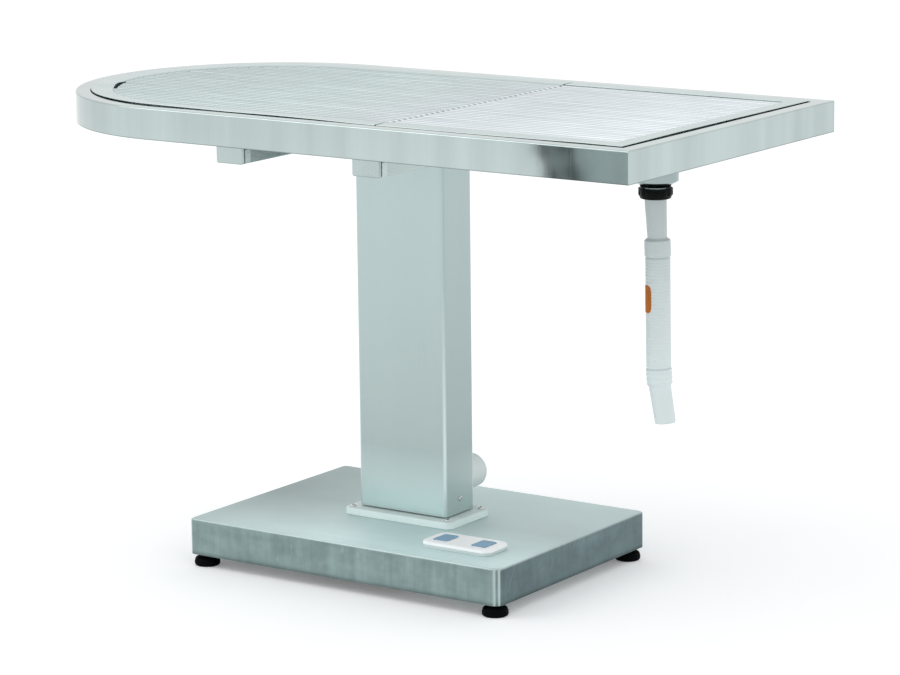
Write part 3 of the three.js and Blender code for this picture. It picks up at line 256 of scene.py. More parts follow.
def floor_finish():
    """White paper: a matt white that keeps the table's shade, and for the camera and for mirrors a little
    light of its own, so that the paper away from the table is plain white."""
    finish = plain_finish("floor_white", FLOOR_WHITE, 0.9)
    tree = finish.node_tree
    level = tree.nodes.new("ShaderNodeMath")
    level.operation = "MULTIPLY"
    level.inputs[1].default_value = FLOOR_LIFT
    glow = tree.nodes.new("ShaderNodeEmission")
    both = tree.nodes.new("ShaderNodeAddShader")
    tree.links.new(seen_directly(tree), level.inputs[0])
    tree.links.new(level.outputs[0], glow.inputs["Strength"])
    tree.links.new(tree.nodes["Principled BSDF"].outputs[0], both.inputs[0])
    tree.links.new(glow.outputs[0], both.inputs[1])
    tree.links.new(both.outputs[0], tree.nodes["Material Output"].inputs["Surface"])
    return finish


REACH = 14
stage_sheet("studio_floor", [(-REACH, -REACH, 0), (REACH, -REACH, 0), (REACH, REACH, 0), (-REACH, REACH, 0)],
            [(0, 1, 2, 3)], floor_finish())
soft_lamp("key_lamp", (-2.6, -2.2, 3.6), (0, 0, 0.5), 3.0, 33)
print("studio floor and lamp ready")

# %% Dark boards
BOARD_Y, BOARD_HEIGHT, BOARD_SLANT = -3.0, 0.62, -0.18
BOARD_EDGES = np.array([-1.224, -1.188, -1.153, -1.117, -0.92])
BOARD_WAVE = np.array([0.005, 0.010, 0.009, 0.004, 0.0])
BOARD_GREYS = {"board_left": 0.08, "board_mid_left": 0.36, "board_mid_right": 0.045, "board_right": 0.5}
rise = np.linspace(0, BOARD_HEIGHT, 150)[:, None]
edge = BOARD_EDGES + BOARD_SLANT * rise / BOARD_HEIGHT
edge = edge + BOARD_WAVE * np.sin(2 * math.pi * rise / 0.075 + np.array([0.4, 2.6, 4.9, 1.5, 0]))
for k, (name, grey) in enumerate(BOARD_GREYS.items()):
    board = np.stack(np.broadcast_arrays(edge[:, k:k + 2], BOARD_Y, rise), -1).reshape(-1, 3)
    board = stage_sheet(name, board.tolist(), grid_faces(len(rise), 2).tolist(),
                        plain_finish(name, (grey, grey * 1.1, grey * 1.12, 1), 0.9))
    board.visible_camera = False
print("boards ready")

# %% [markdown]
# Finishes. Every surface of the table is one of a few real materials: sheet steel with a satin grind,
# drawn rod, painted or plated steel inside, moulded plastics and black rubber. Each could be one flat
# colour, but real sheet shows three scales at once: fine grinding lines, slow clouds from handling and
# cleaning, and a slight waviness that bends what it mirrors. The helpers below build those three from
# noise in object coordinates, so that the pattern stays on the piece when the piece moves.

# %% Helpers for finishes
def tint(red, green, blue):
    """A colour given as it looks on a screen, 0 to 255, as linear light: ((c/255 + 0.055)/1.055)^2.4."""
    c = np.array([red, green, blue]) / 255
    linear = np.where(c <= 0.04045, c / 12.92, ((c + 0.055) / 1.055) ** 2.4)
    return np.append(linear, 1.0)


def blank_finish(name):
    """A new finish, its node tree and its surface shader."""
    finish = bpy.data.materials.new(name)
    finish.use_nodes = True
    return finish, finish.node_tree, finish.node_tree.nodes["Principled BSDF"]


def node(tree, kind, inputs=None, **settings):
    """A shader node with its settings; each input is linked to an output or set to a constant."""
    made = tree.nodes.new("ShaderNode" + kind)
    for key, value in settings.items():
        setattr(made, key, value)
    for key, value in (inputs or {}).items():
        if isinstance(value, bpy.types.NodeSocket):
            tree.links.new(value, made.inputs[key])
        else:
            made.inputs[key].default_value = value
    return made


def noise(tree, per_metre, detail=3.0, roughness=0.55, shift=0.0, turn=(0, 0, 0)):
    """Noise from 0 to 1 in object coordinates, with its own count of features per metre along X, Y, Z."""
    where = node(tree, "TexCoord").outputs["Object"]
    if any(turn):
        where = node(tree, "Mapping", {"Vector": where, "Rotation": turn}).outputs[0]
    placed = node(tree, "Mapping", {"Vector": where, "Scale": per_metre, "Location": (shift, shift, shift)})
    return node(tree, "TexNoise", {"Vector": placed.outputs[0], "Scale": 1.0, "Detail": detail,
                                   "Roughness": roughness}).outputs[0]


def ranged(tree, value, low, high, start=0.3, end=0.7):
    """value carried from start..end to low..high, clamped."""
    return node(tree, "MapRange", {"Value": value, "From Min": start, "From Max": end,
                                   "To Min": low, "To Max": high}).outputs[0]


def total(tree, one, other, operation="ADD"):
    """Two values joined by one arithmetic operation."""
    return node(tree, "Math", {0: one, 1: other}, operation=operation).outputs[0]


def place_along(tree, axis, absolute=False):
    """One object coordinate, in metres, or its distance from zero."""
    value = node(tree, "SeparateXYZ", {0: node(tree, "TexCoord").outputs["Object"]}).outputs[axis]
    return total(tree, value, 0.0, "ABSOLUTE") if absolute else value


def between(tree, amount, first, second):
    """A colour between two, by amount."""
    return node(tree, "MixRGB", {"Fac": amount, "Color1": first, "Color2": second}).outputs[0]


def dimmed(tree, color, value):
    """A colour multiplied by a value."""
    return node(tree, "MixRGB", {"Fac": 1.0, "Color1": color, "Color2": value}, blend_type="MULTIPLY").outputs[0]


def relief(tree, shader, *layers):
    """Bump layers of (height value, depth in millimetres), one on another, into the shader's normal."""
    normal = None
    for height, depth in layers:
        bump = node(tree, "Bump", {"Height": height, "Distance": depth * MM, "Strength": 1.0})
        if normal is not None:
            tree.links.new(normal, bump.inputs["Normal"])
        normal = bump.outputs[0]
    tree.links.new(normal, shader.inputs["Normal"])


def scaled(color, factor):
    """A colour made lighter or darker by a factor."""
    return (*(np.asarray(color)[:3] * factor), 1.0)


print("finish helpers ready")

# %% Sheet steel and moulded plastic
def painted_shade_along(tree, color, ramp):
    """A colour with painted shade and painted light that change slowly along one axis; each ramp row is (axis, distance
    from zero or not, start, end, shade at the start, shade at the end). The last may be a tint of three numbers."""
    for axis, absolute, start, end, low, high in ramp or ():
        place = place_along(tree, axis, absolute)
        if isinstance(high, tuple):
            shade = between(tree, ranged(tree, place, 0, 1, start, end), (low, low, low, 1.0), (*high, 1.0))
        else:
            shade = ranged(tree, place, low, high, start, end)
        color = dimmed(tree, color, shade)
    return color


def facing_squares(tree):
    """The squares of the surface normal's three parts, which add up to one."""
    facing = node(tree, "SeparateXYZ", {0: node(tree, "TexCoord").outputs["Normal"]}).outputs
    return [total(tree, part, part, "MULTIPLY") for part in facing]


def painted_shade_by_facing(tree, color, sides, top, corner):
    """Painted shade and painted light by the way a face looks: a colour times 1 + sum of (side - 1) n^2 over X and Y,
    which paints shade (side below 1) or light (side above 1) on the upright faces; times the top colour by nz^2, a
    painted shade on faces that look up; and lightened towards the corner colour by 4 nx^2 ny^2, which is largest half
    way round an upright fold, a painted highlight. The corner is (colour, height where the lightening begins to fade,
    height where it ends)."""
    nx, ny, nz = facing_squares(tree)
    if sides:
        parts = [total(tree, square, side - 1, "MULTIPLY") for square, side in zip((nx, ny), sides)]
        color = dimmed(tree, color, total(tree, total(tree, *parts), 1.0))
    if top:
        color = between(tree, nz, color, dimmed(tree, color, (*top, 1.0)))
    if corner is not None:
        light, fade_from, fade_to = corner
        corner_highlight_mask = total(tree, total(tree, nx, ny, "MULTIPLY"), 4.0, "MULTIPLY")
        fade = ranged(tree, place_along(tree, 2), 1.0, 0.0, fade_from, fade_to)
        color = between(tree, total(tree, corner_highlight_mask, fade, "MULTIPLY"), color, tuple(light))
    return color


def steel(name, color, roughness, grain, streak=0.06, cloud=0.05, band=(30, 30, 2), band_depth=0.04,
          wave=(3, 3, 3), wave_depth=0.0, grain_depth=0.004, spread=0.06, ramp=None, sides=None, top=None, corner=None):
    """Sheet steel: colour times clouds, bands and grinding lines; the lines also vary the gloss. The ramp adds painted
    shade and painted light along an axis; sides, top and corner add painted shade and a painted highlight by the way a
    face looks.
    """
    finish, tree, shader = blank_finish(name)
    lines = noise(tree, grain, 4.0, 0.6)
    clouds = noise(tree, (5, 5, 5), 3.0, 0.55, 3.1)
    bands = noise(tree, band, 2.0, 0.5, 7.7)
    base = between(tree, ranged(tree, clouds, 0, 1), scaled(color, 1 - cloud), scaled(color, 1 + cloud / 2))
    base = dimmed(tree, base, ranged(tree, bands, 1 - band_depth, 1.0))
    base = dimmed(tree, base, ranged(tree, lines, 1 - streak, 1.0))
    base = painted_shade_along(tree, base, ramp)
    base = painted_shade_by_facing(tree, base, sides, top, corner)
    gloss = ranged(tree, lines, roughness - spread, roughness + spread)
    gloss = total(tree, gloss, ranged(tree, clouds, -spread / 2, spread / 2))
    tree.links.new(base, shader.inputs["Base Color"])
    tree.links.new(gloss, shader.inputs["Roughness"])
    shader.inputs["Metallic"].default_value = 1.0
    layers = [(lines, grain_depth)]
    if wave_depth:
        layers.insert(0, (noise(tree, wave, 1.0, 0.4, 5.3), wave_depth))
    relief(tree, shader, *layers)
    return finish


def moulded(name, color, roughness, fleck=0.04, pore=900, pore_depth=0.01, dust=0.0, spread=0.08, shine=0.5,
            ramp=None):
    """Moulded plastic or rubber: slow colour clouds, fine pores in the relief, gloss that varies, and a little pale
    dust that gathers where the clouds are high. The ramp adds painted shade and painted light along an axis."""
    finish, tree, shader = blank_finish(name)
    clouds = noise(tree, (14, 14, 14), 4.0, 0.6, 1.7)
    pores = noise(tree, (pore, pore, pore), 2.0, 0.5)
    base = between(tree, ranged(tree, clouds, 0, 1), scaled(color, 1 - fleck), scaled(color, 1 + fleck))
    if dust:
        base = between(tree, ranged(tree, clouds, 0, dust, 0.5, 0.75), base, tuple(tint(150, 150, 146)))
    base = dimmed(tree, base, ranged(tree, pores, 1 - fleck, 1.0))
    base = painted_shade_along(tree, base, ramp)
    tree.links.new(base, shader.inputs["Base Color"])
    tree.links.new(ranged(tree, clouds, roughness - spread, roughness + spread), shader.inputs["Roughness"])
    shader.inputs["Specular IOR Level"].default_value = shine
    relief(tree, shader, (pores, pore_depth))
    return finish


print("sheet steel and moulded plastic ready")

# %% [markdown]
# The base cover is one sheet folded down on four sides. Its grind runs along X on the top, on over the long flanges,
# and turns down over the short ones. The darker long sides, the darkest ends and the darker bottom edge are painted
# shade; the pale top is lighter towards the front and darker to the left, also painted light and shade. It has upright
# streaks and a few scratches from mops and shoes. The shades could be three materials on three sets of faces; weights
# from the surface normal do the same and stay smooth over the folds, where a painted highlight lightens the top fold
# and two lines round each upright corner.

# %% Steel of the folded base cover
def folded_steel(name, top, side, end):
    """Colour = top nz^2 + (side ny^2 + end nx^2), each with its own lines; the darker side and end colours are painted
    shade. A painted highlight lightens the top fold by nz^2 (1 - nz^2), largest half way over, and the upright corners
    where nx^2 is 0.22 and 0.62."""
    finish, tree, shader = blank_finish(name)
    nx, ny, nz = facing_squares(tree)
    upright = total(tree, 1.0, nz, "SUBTRACT")
    clouds = noise(tree, (7, 7, 7), 3.0, 0.55, 2.3)
    blotches = noise(tree, (20, 20, 26), 4.0, 0.6, 4.4)
    smears = noise(tree, (5, 5, 34), 3.0, 0.6, 6.1)
    top_lines = noise(tree, (9, 420, 420), 4.0, 0.6)
    side_lines = noise(tree, (110, 110, 9), 4.0, 0.6, 1.3)
    scratches = noise(tree, (70, 70, 5), 2.0, 0.5, 8.2, (0.5, 0.0, 0.3))
    # Painted shade: the long sides and the ends take darker colours than the top; the blotches, smears and lines below
    # are the sheet's own marks.
    walls = between(tree, ranged(tree, nx, 0, 1, 0.15, 0.85), tuple(side), tuple(end))
    walls = dimmed(tree, walls, ranged(tree, blotches, 0.80, 1.10))
    walls = dimmed(tree, walls, ranged(tree, smears, 0.90, 1.05))
    walls = dimmed(tree, walls, ranged(tree, side_lines, 0.92, 1.05))
    # Painted shade: the lowest few millimetres of the sides darken towards the floor.
    walls = painted_shade_along(tree, walls, [(2, False, 0.0205, 0.027, 0.55, 1.0)])
    # Painted light and shade on the top: lighter towards the front and a little towards the back, darker towards the
    # left.
    sheet = painted_shade_along(tree, tuple(top), [(1, False, -0.18, 0.0, 1.46, 1.0), (1, False, 0.02, 0.2, 1.0, 1.08),
                                             (0, False, -0.28, -0.02, 0.70, 1.0)])
    base = between(tree, nz, walls, sheet)
    base = dimmed(tree, base, ranged(tree, clouds, 0.96, 1.03))
    lines = node(tree, "Mix", {0: nz, 2: side_lines, 3: top_lines}).outputs[0]
    base = dimmed(tree, base, ranged(tree, lines, 0.94, 1.02))
    marks = total(tree, ranged(tree, scratches, 0, 0.25, 0.68, 0.75), upright, "MULTIPLY")
    base = between(tree, marks, base, tuple(tint(186, 201, 200)))
    # Painted highlight: two light lines round each upright corner and a light band over the top fold.
    corner_highlight_lines = [total(tree, total(tree, nx, place, "SUBTRACT"), 0.0, "ABSOLUTE") for place in (0.22, 0.62)]
    corner_highlight_lines = [ranged(tree, bend, 1.0, 0.0, 0.0, 0.16) for bend in corner_highlight_lines]
    corner = total(tree, total(tree, *corner_highlight_lines, "MAXIMUM"), upright, "MULTIPLY")
    fold = total(tree, total(tree, nz, upright, "MULTIPLY"), 1.2, "MULTIPLY")
    painted_highlight = total(tree, total(tree, corner, fold, "MAXIMUM"), ranged(tree, side_lines, 0.45, 0.85), "MULTIPLY")
    base = between(tree, painted_highlight, base, tuple(tint(213, 226, 225)))
    gloss = node(tree, "Mix", {0: nz, 2: ranged(tree, lines, 0.34, 0.48), 3: ranged(tree, lines, 0.56, 0.7)})
    tree.links.new(base, shader.inputs["Base Color"])
    tree.links.new(gloss.outputs[0], shader.inputs["Roughness"])
    shader.inputs["Metallic"].default_value = 1.0
    relief(tree, shader, (noise(tree, (9, 9, 4), 1.0, 0.4, 5.3), 0.25), (lines, 0.004))
    return finish


# The darker side and end colours are painted shade.
base_steel = folded_steel("base_steel", tint(198, 213, 213), tint(146, 166, 165), tint(114, 133, 135))
print("base steel ready")

# %% [markdown]
# The other finishes. The colours were read off the parts of the photograph that mirror white, since a metal shows its
# own colour there. The rim is the glossiest sheet, nearly a mirror, with upright bands; the column has a finer grind
# and a painted shade that darkens it downwards; the rods are drawn wire with lines along their length.

# %% Finishes
# Painted shade: the rim darkens towards its round end, a dark line runs along its lowest 1.6 mm, and the top colour
# darkens the faces that look up.
rim_steel = steel("rim_steel", tint(193, 206, 204), 0.055, (260, 260, 16), 0.03, 0.04, (20, 20, 0.8), 0.15,
                  (14, 14, 9), 0.12, 0.0004, 0.008, [(0, False, -0.6, -0.05, 0.93, 1.0), (0, False, -0.5, -0.34, 0.89, 1.0),
                                      (2, False, 0.7162, 0.7178, 0.4, 1.0)],
                  top=(0.79, 0.855, 0.85))
# Painted light and shade: the upright faces are lightened by 1.15 and the faces that look up are darkened by the top
# colour.
border_steel = steel("border_steel", tint(205, 216, 215), 0.26, (12, 500, 500), 0.05, 0.05, (16, 40, 40), 0.05,
                     (4, 4, 4), 0.25, 0.002, sides=(1.15, 1.15), top=(0.84, 0.905, 0.90))
# Painted shade: a dark line along the lowest 1.5 mm of each tab.
tab_steel = steel("tab_steel", tint(184, 198, 196), 0.24, (300, 300, 20), 0.03, 0.04,
                  ramp=[(2, False, 0.6909, 0.6924, 0.5, 1.0)])
# Painted shade and light on the rods: the round rods darken towards their left end and lighten towards the seam into a
# lighter tint, the square rods lighten towards the square end, faces that look along Y are lightened by 1.35 and the
# tops are slightly darkened.
ROD_GRAIN, ROD_BAND = (10, 700, 700), (12, 60, 60)
round_rod_steel = steel("round_rod_steel", tint(192, 204, 203), 0.55, ROD_GRAIN, 0.07, 0.05, ROD_BAND, 0.09,
                        (4, 4, 4), 0.25, 0.002, ramp=[(0, False, -0.5, -0.16, 0.91, 1.0),
                                                      (0, False, -0.16, 0.132, 1.0, (1.08, 1.02, 1.06))],
                        sides=(1, 1.35), top=(0.97, 0.97, 0.97))
square_rod_steel = steel("square_rod_steel", tint(207, 213, 216), 0.55, ROD_GRAIN, 0.07, 0.04, ROD_BAND, 0.07,
                         (4, 4, 4), 0.25, 0.002, ramp=[(0, False, 0.25, 0.5, 1.0, 1.16)], sides=(1, 1.35),
                         top=(0.97, 0.965, 0.965))
# Painted shade and light: the column darkens downwards from 0.62 m to 0.2 m and is lightened again at its foot, its
# X-facing sides are a little darker, and a painted highlight line runs down its upright corners, full below 0.2 m and
# gone above 0.5 m.
column_steel = steel("column_steel", tint(184, 200, 199), 0.32, (900, 900, 4), 0.018, 0.025, (14, 14, 0.6), 0.03,
                     (5, 5, 2), 0.2, 0.0015, 0.04,
                     [(2, False, 0.20, 0.62, 0.83, 1.0), (2, False, 0.10, 0.20, 1.48, 1.0)],
                     (0.92, 1), None, (tint(212, 226, 226), 0.2, 0.5))
# Painted light: the flange's sides below its top are lightened by 1.24.
flange_paint = moulded("flange_paint", tint(210, 223, 221), 0.42, 0.02, 600, 0.01,
                       ramp=[(2, False, 0.0905, 0.0922, 1.24, 1.0)])
# Painted shade: each beam is darkened inwards of its ends, the left one more and with a darker tint than the right, so
# the two are lit and shaded copies of one steel.
beam_steel = {word: steel(f"beam_steel_{word}", color, 0.28, (700, 9, 700), 0.05, 0.04, (40, 4, 40), 0.05,
                          ramp=[(1, True, 0.2875, 0.289, shade, 1.0)])
              for word, color, shade in (("left", tint(198, 212, 210), 0.64), ("right", tint(203, 217, 215), 0.86))}
# The cup's darker colour is painted shade, for the shade under the rim.
cup_steel = steel("cup_steel", tint(164, 178, 178), 0.2, (500, 500, 60), 0.05, 0.06)
pan_steel = steel("pan_steel", tint(184, 195, 195), 0.34, (500, 500, 500), 0.08, 0.08, (8, 8, 8), 0.10,
                  (9, 9, 9), 0.4)
plated_steel = steel("plated_steel", tint(168, 175, 176), 0.38, (260, 260, 260), 0.08, 0.06)
bright_steel = steel("bright_steel", tint(205, 208, 206), 0.18, (200, 200, 900), 0.05, 0.04)
dark_paint = moulded("dark_paint", tint(62, 67, 70), 0.5, 0.08, 420, 0.02, 0.12)
white_plastic = moulded("white_plastic", tint(253, 254, 254), 0.40, 0.012, 1100, 0.006)
# Painted reflection: the grey of the plate under the switch cover stands in for the pale band that the base top mirrors
# there.
painted_reflection_grey = moulded("painted_reflection_grey", tint(206, 216, 215), 0.50, 0.02, 900, 0.01, shine=0.3)
motor_plastic = moulded("motor_plastic", tint(226, 234, 233), 0.45, 0.02, 800, 0.012)
blue_plastic = moulded("blue_plastic", tint(134, 170, 196), 0.50, 0.06, 900, 0.015, shine=0.3)
black_plastic = moulded("black_plastic", tint(5, 8, 8), 0.40, 0.1, 700, 0.015, 0.008, shine=0.08)
black_rubber = moulded("black_rubber", tint(5, 8, 9), 0.72, 0.14, 600, 0.03, 0.01, shine=0.05)
slide_plastic = moulded("slide_plastic", tint(232, 230, 218), 0.55, 0.03, 700, 0.012)
orange_plastic = moulded("orange_plastic", tint(192, 106, 12), 0.45, 0.16, 500, 0.006, shine=0.2)
# Painted shade and light: the hose darkens towards the spigot under the nut and is lighter towards its lower end.
hose_plastic = moulded("hose_plastic", tint(216, 226, 226), 0.42, 0.03, 700, 0.01,
                       ramp=[(2, False, 0.50, 0.61, 1.0, 0.87), (2, False, 0.36, 0.54, 1.06, 0.95)])
print("finishes:", len(bpy.data.materials))

# %% [markdown]
# The waste hose. It is one moulded pipe: a tapered spigot under the black nut, a plain collar, a
# corrugated stretch that hangs a little out of line, a ringed lower cuff and a plain tail. A curve with
# a bevel would give one thickness only, so each ring of a grid gets its own radius along the route. The
# wall turns inside at the tail's rim, so that the end is an open pipe.

# %% Route of the hose
DRAIN_X = 458.0
NUT_BOTTOM, COLLAR_TOP, COLLAR_BOTTOM, BODY_TOP = 642.3, 577.3, 552.3, 552.0
BODY_LENGTH, BODY_DRIFT = 176.0, 6.2
CUFF_LENGTH, TAIL_LENGTH, TAIL_LEAN = 26.0, 60.0, math.radians(10)
HOSE_START = NUT_BOTTOM + 2.0
RIB_COUNT = 35


def hose_route(s):
    """The hose's middle line at lengths s along it, in its own X-Z plane: it leans a little out of the nut,
    hangs down to the cuff and ends in a tail that leans more. The sideways drift is a smooth curve through
    a few knots, each turn eased by averaging over 12 mm."""
    straight = HOSE_START - BODY_TOP + BODY_LENGTH
    knots = np.array([0, 6, 66, 92, 180, straight, straight + CUFF_LENGTH, straight + CUFF_LENGTH + TAIL_LENGTH])
    drift = np.array([0, 0.1, 3.4, 4.2, 5.0, BODY_DRIFT, BODY_DRIFT + 1.8, BODY_DRIFT + 1.8 + 10.4])
    ease = np.linspace(-6, 6, 13)
    x = np.interp(np.asarray(s, float)[..., None] + ease, knots, drift).mean(-1)
    lean = np.clip(s - straight - CUFF_LENGTH, 0, None)
    z = HOSE_START - s + lean * (1 - math.cos(TAIL_LEAN))
    return np.stack([DRAIN_X + x, np.zeros_like(x), z], -1)


def hose_radius(s):
    """Outer radius along the hose: a taper, a collar, ribs r = 19.4 + 0.22 cos(2 pi n t), a cuff with three
    raised rings, and a tail that narrows by a millimetre."""
    taper_end, collar_end = HOSE_START - COLLAR_TOP, HOSE_START - COLLAR_BOTTOM
    body_end = HOSE_START - BODY_TOP + BODY_LENGTH
    cuff_end = body_end + CUFF_LENGTH
    end = cuff_end + TAIL_LENGTH
    t = np.clip((s - collar_end) / (body_end - collar_end), 0, 1)
    ribs = 19.4 + 0.22 * np.cos(2 * math.pi * RIB_COUNT * t)
    rings = 20.0 + 0.5 * np.clip(np.cos(2 * math.pi * 3 * (s - body_end - 1) / (CUFF_LENGTH - 4)), -0.6, 1)
    knots = np.array([0, taper_end - 4, taper_end - 0.8, taper_end + 0.3, collar_end - 1.0, collar_end - 0.2,
                      collar_end + 0.2, collar_end + 1.6, collar_end + 2.2])
    upper = np.interp(s, knots, [17.2, 15.3, 19.4, 20.4, 20.5, 20.0, 17.6, 17.6, 19.4])
    low_knots = np.array([body_end - 2.2, body_end - 1.4, body_end - 0.2, body_end + 0.4])
    lower = np.interp(s, low_knots, [19.4, 17.8, 17.8, 19.7])
    tail = np.interp(s, [cuff_end - 3, cuff_end, cuff_end + 1.5, end - 3, end - 1, end],
                     [20.2, 18.6, 17.2, 16.3, 16.0, 15.2])
    r = np.where(s < collar_end + 2.2, upper, ribs)
    r = np.where((s >= body_end - 2.2) & (s < body_end + 0.4), lower, r)
    r = np.where((s >= body_end + 0.4) & (s < cuff_end - 3), rings, r)
    return np.where(s >= cuff_end - 3, tail, r)


hose_length = HOSE_START - BODY_TOP + BODY_LENGTH + CUFF_LENGTH + TAIL_LENGTH
print("hose length", round(hose_length, 1), "mm")

# %% Hose
outer_s = np.unique(np.concatenate([np.arange(0, hose_length, 0.55), np.arange(hose_length - 4, hose_length, 0.25),
                                    [HOSE_START - COLLAR_BOTTOM, hose_length]]))
inner_s = hose_length - np.array([0, 0.8, 2, 20, 45])
along = np.concatenate([[0.0], outer_s, inner_s, inner_s[-1:]])
radius = np.concatenate([[0.0], hose_radius(outer_s), [14.4, 14.0, 13.8, 13.8, 13.8], [0.0]])
middle = hose_route(along)
ahead = hose_route(along + 0.5) - hose_route(np.maximum(along - 0.5, 0))
ahead /= np.linalg.norm(ahead, axis=1, keepdims=True)
ACROSS = np.array([0.0, 1.0, 0.0])
side = np.cross(ACROSS, ahead)
turn = np.linspace(0, 2 * math.pi, 40, endpoint=False)
spoke = np.cos(turn)[None, :, None] * side[:, None] + np.sin(turn)[None, :, None] * ACROSS
hose_shell = (middle[:, None] + radius[:, None, None] * spoke, grid_faces(len(along), 40, wrap_columns=True))
waste_hose = make_piece("waste_hose", [hose_shell], "lift", hose_plastic,
                        ("hose_upper_cuff", "hose_body", "hose_lower_cuff"), 50)
print("hose rings", len(along))

# %% [markdown]
# The orange patch on the hose is a plain soft label without words. It is a small curved plate: a rounded
# rectangle bent round the hose's axis, a little proud of the ribs.

# %% Orange patch
def bent_patch(low, high, turn_from, turn_to, r_inner, r_outer, soft=4.0, rows=24, columns=20):
    """A plate between two heights and two angles, bent at a radius, its corners cut by a superellipse."""
    u, v = np.meshgrid(np.linspace(-1, 1, rows), np.linspace(-1, 1, columns), indexing="ij")
    size = np.maximum((np.abs(u) ** soft + np.abs(v) ** soft) ** (1 / soft), 1e-9)
    pull = np.maximum(np.abs(u), np.abs(v)) / size
    z = (low + high) / 2 + u * pull * (high - low) / 2
    angle = np.radians((turn_from + turn_to) / 2 + v * pull * (turn_to - turn_from) / 2)
    x0 = hose_route(HOSE_START - z)[..., 0]
    layers = [np.stack([x0 + r * np.cos(angle), r * np.sin(angle), z], -1) for r in (r_outer, r_inner)]
    faces = grid_faces(rows, columns)
    ids = np.arange(rows * columns).reshape(rows, columns)
    edge = np.concatenate([ids[0], ids[1:, -1], ids[-1, -2::-1], ids[-2:0:-1, 0]])
    ahead_edge = np.roll(edge, -1)
    wall = np.stack([edge, ahead_edge, ahead_edge + rows * columns, edge + rows * columns], 1)
    return np.concatenate([layer.reshape(-1, 3) for layer in layers]), \
        np.concatenate([faces, faces[:, ::-1] + rows * columns, wall])


make_piece("hose_patch", [bent_patch(465, 508, -152, -92, 18.6, 19.95)], "lift", orange_plastic)
print("patch made")

# %% [markdown]
# The rim is sheet folded into a channel that is open below: outer face, flat top and inner face. The
# bright line along its upper edge is the fold itself, a small radius that catches the lamp. So the fold
# has to be real geometry: a profile with rounded corners, carried round the outline of the top. The same
# outline, moved inwards, also carries the borders of the two grates and the pan below them.

# %% Outline of the top
HALF_WIDTH, HALF_LENGTH, ROUND_CENTRE = 310.0, 600.0, -290.0
SEAM = 132.0
RIM_LOW, RIM_TOP = 716.0, 766.0


def sweep(cx, cy, r, start, end, count):
    """Arcs of each radius about each centre, from one angle to another in degrees."""
    angle = np.radians(np.linspace(start, end, count + 1))[:, None]
    return np.stack([cx + r * np.cos(angle), cy + r * np.sin(angle)], -1)


def chain(pieces, run):
    """Pieces of outline joined, with run more points on the straight line between one and the next."""
    t = np.linspace(0, 1, run + 2)[1:-1, None, None]
    joined = [pieces[0]]
    for before, after in zip(pieces, pieces[1:]):
        joined += [before[-1] + t * (after[0] - before[-1]), after]
    return np.concatenate(joined)


def top_outline(insets, part="whole", arc=128, bend=6, corner=1.2, run=0):
    """The top's outline moved inwards by each inset: a half circle of radius 310 less the inset, straight
    sides and two square corners with a small radius. part may be cut at the seam of the grates."""
    d = np.atleast_1d(np.asarray(insets, float))[None]
    half = HALF_WIDTH - d
    keep, soft = np.maximum(corner, d), np.maximum(corner - d, 0)
    round_end = sweep(ROUND_CENTRE, 0, half, 90, 270, arc)
    near = sweep(HALF_LENGTH - keep, keep - HALF_WIDTH, soft, -90, 0, bend)
    far = sweep(HALF_LENGTH - keep, HALF_WIDTH - keep, soft, 0, 90, bend)
    if part == "whole":
        return chain([round_end, near, far, round_end[:1]], run)[:-1]
    back = np.stack([np.full_like(half, SEAM - 1.5 if part == "round" else SEAM + 1.5), half], -1)
    front = back * np.array([1, -1])
    return chain([back, round_end, front] if part == "round" else [front, near, far, back], run)


def carried(profile, part="whole", lift=None, **options):
    """A closed profile of (inset, height) carried round the outline of the top; ends are capped. lift adds
    a height for each place and inset."""
    inset, height = np.asarray(profile, float).T
    flat = top_outline(inset, part, **options)
    z = np.broadcast_to(height, flat.shape[:2])
    if lift is not None:
        z = z + lift(flat[..., 0], flat[..., 1], inset)
    rows, columns = z.shape
    faces = grid_faces(rows, columns, wrap_rows=part == "whole", wrap_columns=True).tolist()
    if part != "whole":
        faces += [list(range(columns)), list(range((rows - 1) * columns, rows * columns))]
    return np.concatenate([flat, z[..., None]], -1), faces


rim_profile = rounded([(0, RIM_LOW), (0, RIM_TOP), (25, RIM_TOP), (25, RIM_LOW), (23.5, RIM_LOW),
                       (23.5, RIM_TOP - 1.5), (1.5, RIM_TOP - 1.5), (1.5, RIM_LOW)],
                      [0.25, 2.5, 1.5, 0.4, 0.4, 0.5, 1.0, 0.4], 5)
make_piece("rim", [carried(rim_profile)], "lift", rim_steel, ("rim_frame",), 40)
print("rim profile points:", len(rim_profile))

# %% [markdown]
# The pan under the grates hangs in the rim by a ledge, drops to a floor that falls towards the drain, and
# ends in a round dished outlet. A bowl with two outlines, one like the top and one a circle, could be cut
# out of blocks; a loft does it in one grid. Each point of the outline keeps its bearing from the drain, and
# the rings in between are straight mixes of the two outlines.

# %% Pan
PAN_FLOOR, PAN_FALL, PAN_SHEET = 716.0, 0.015, 1.5
LEDGE_TOP, SUMP_FLOOR = 745.7, 712.0


def floor_height(x):
    """The floor rises by 15 mm in a metre with the distance from the drain along X."""
    return PAN_FLOOR + PAN_FALL * np.abs(x - DRAIN_X)


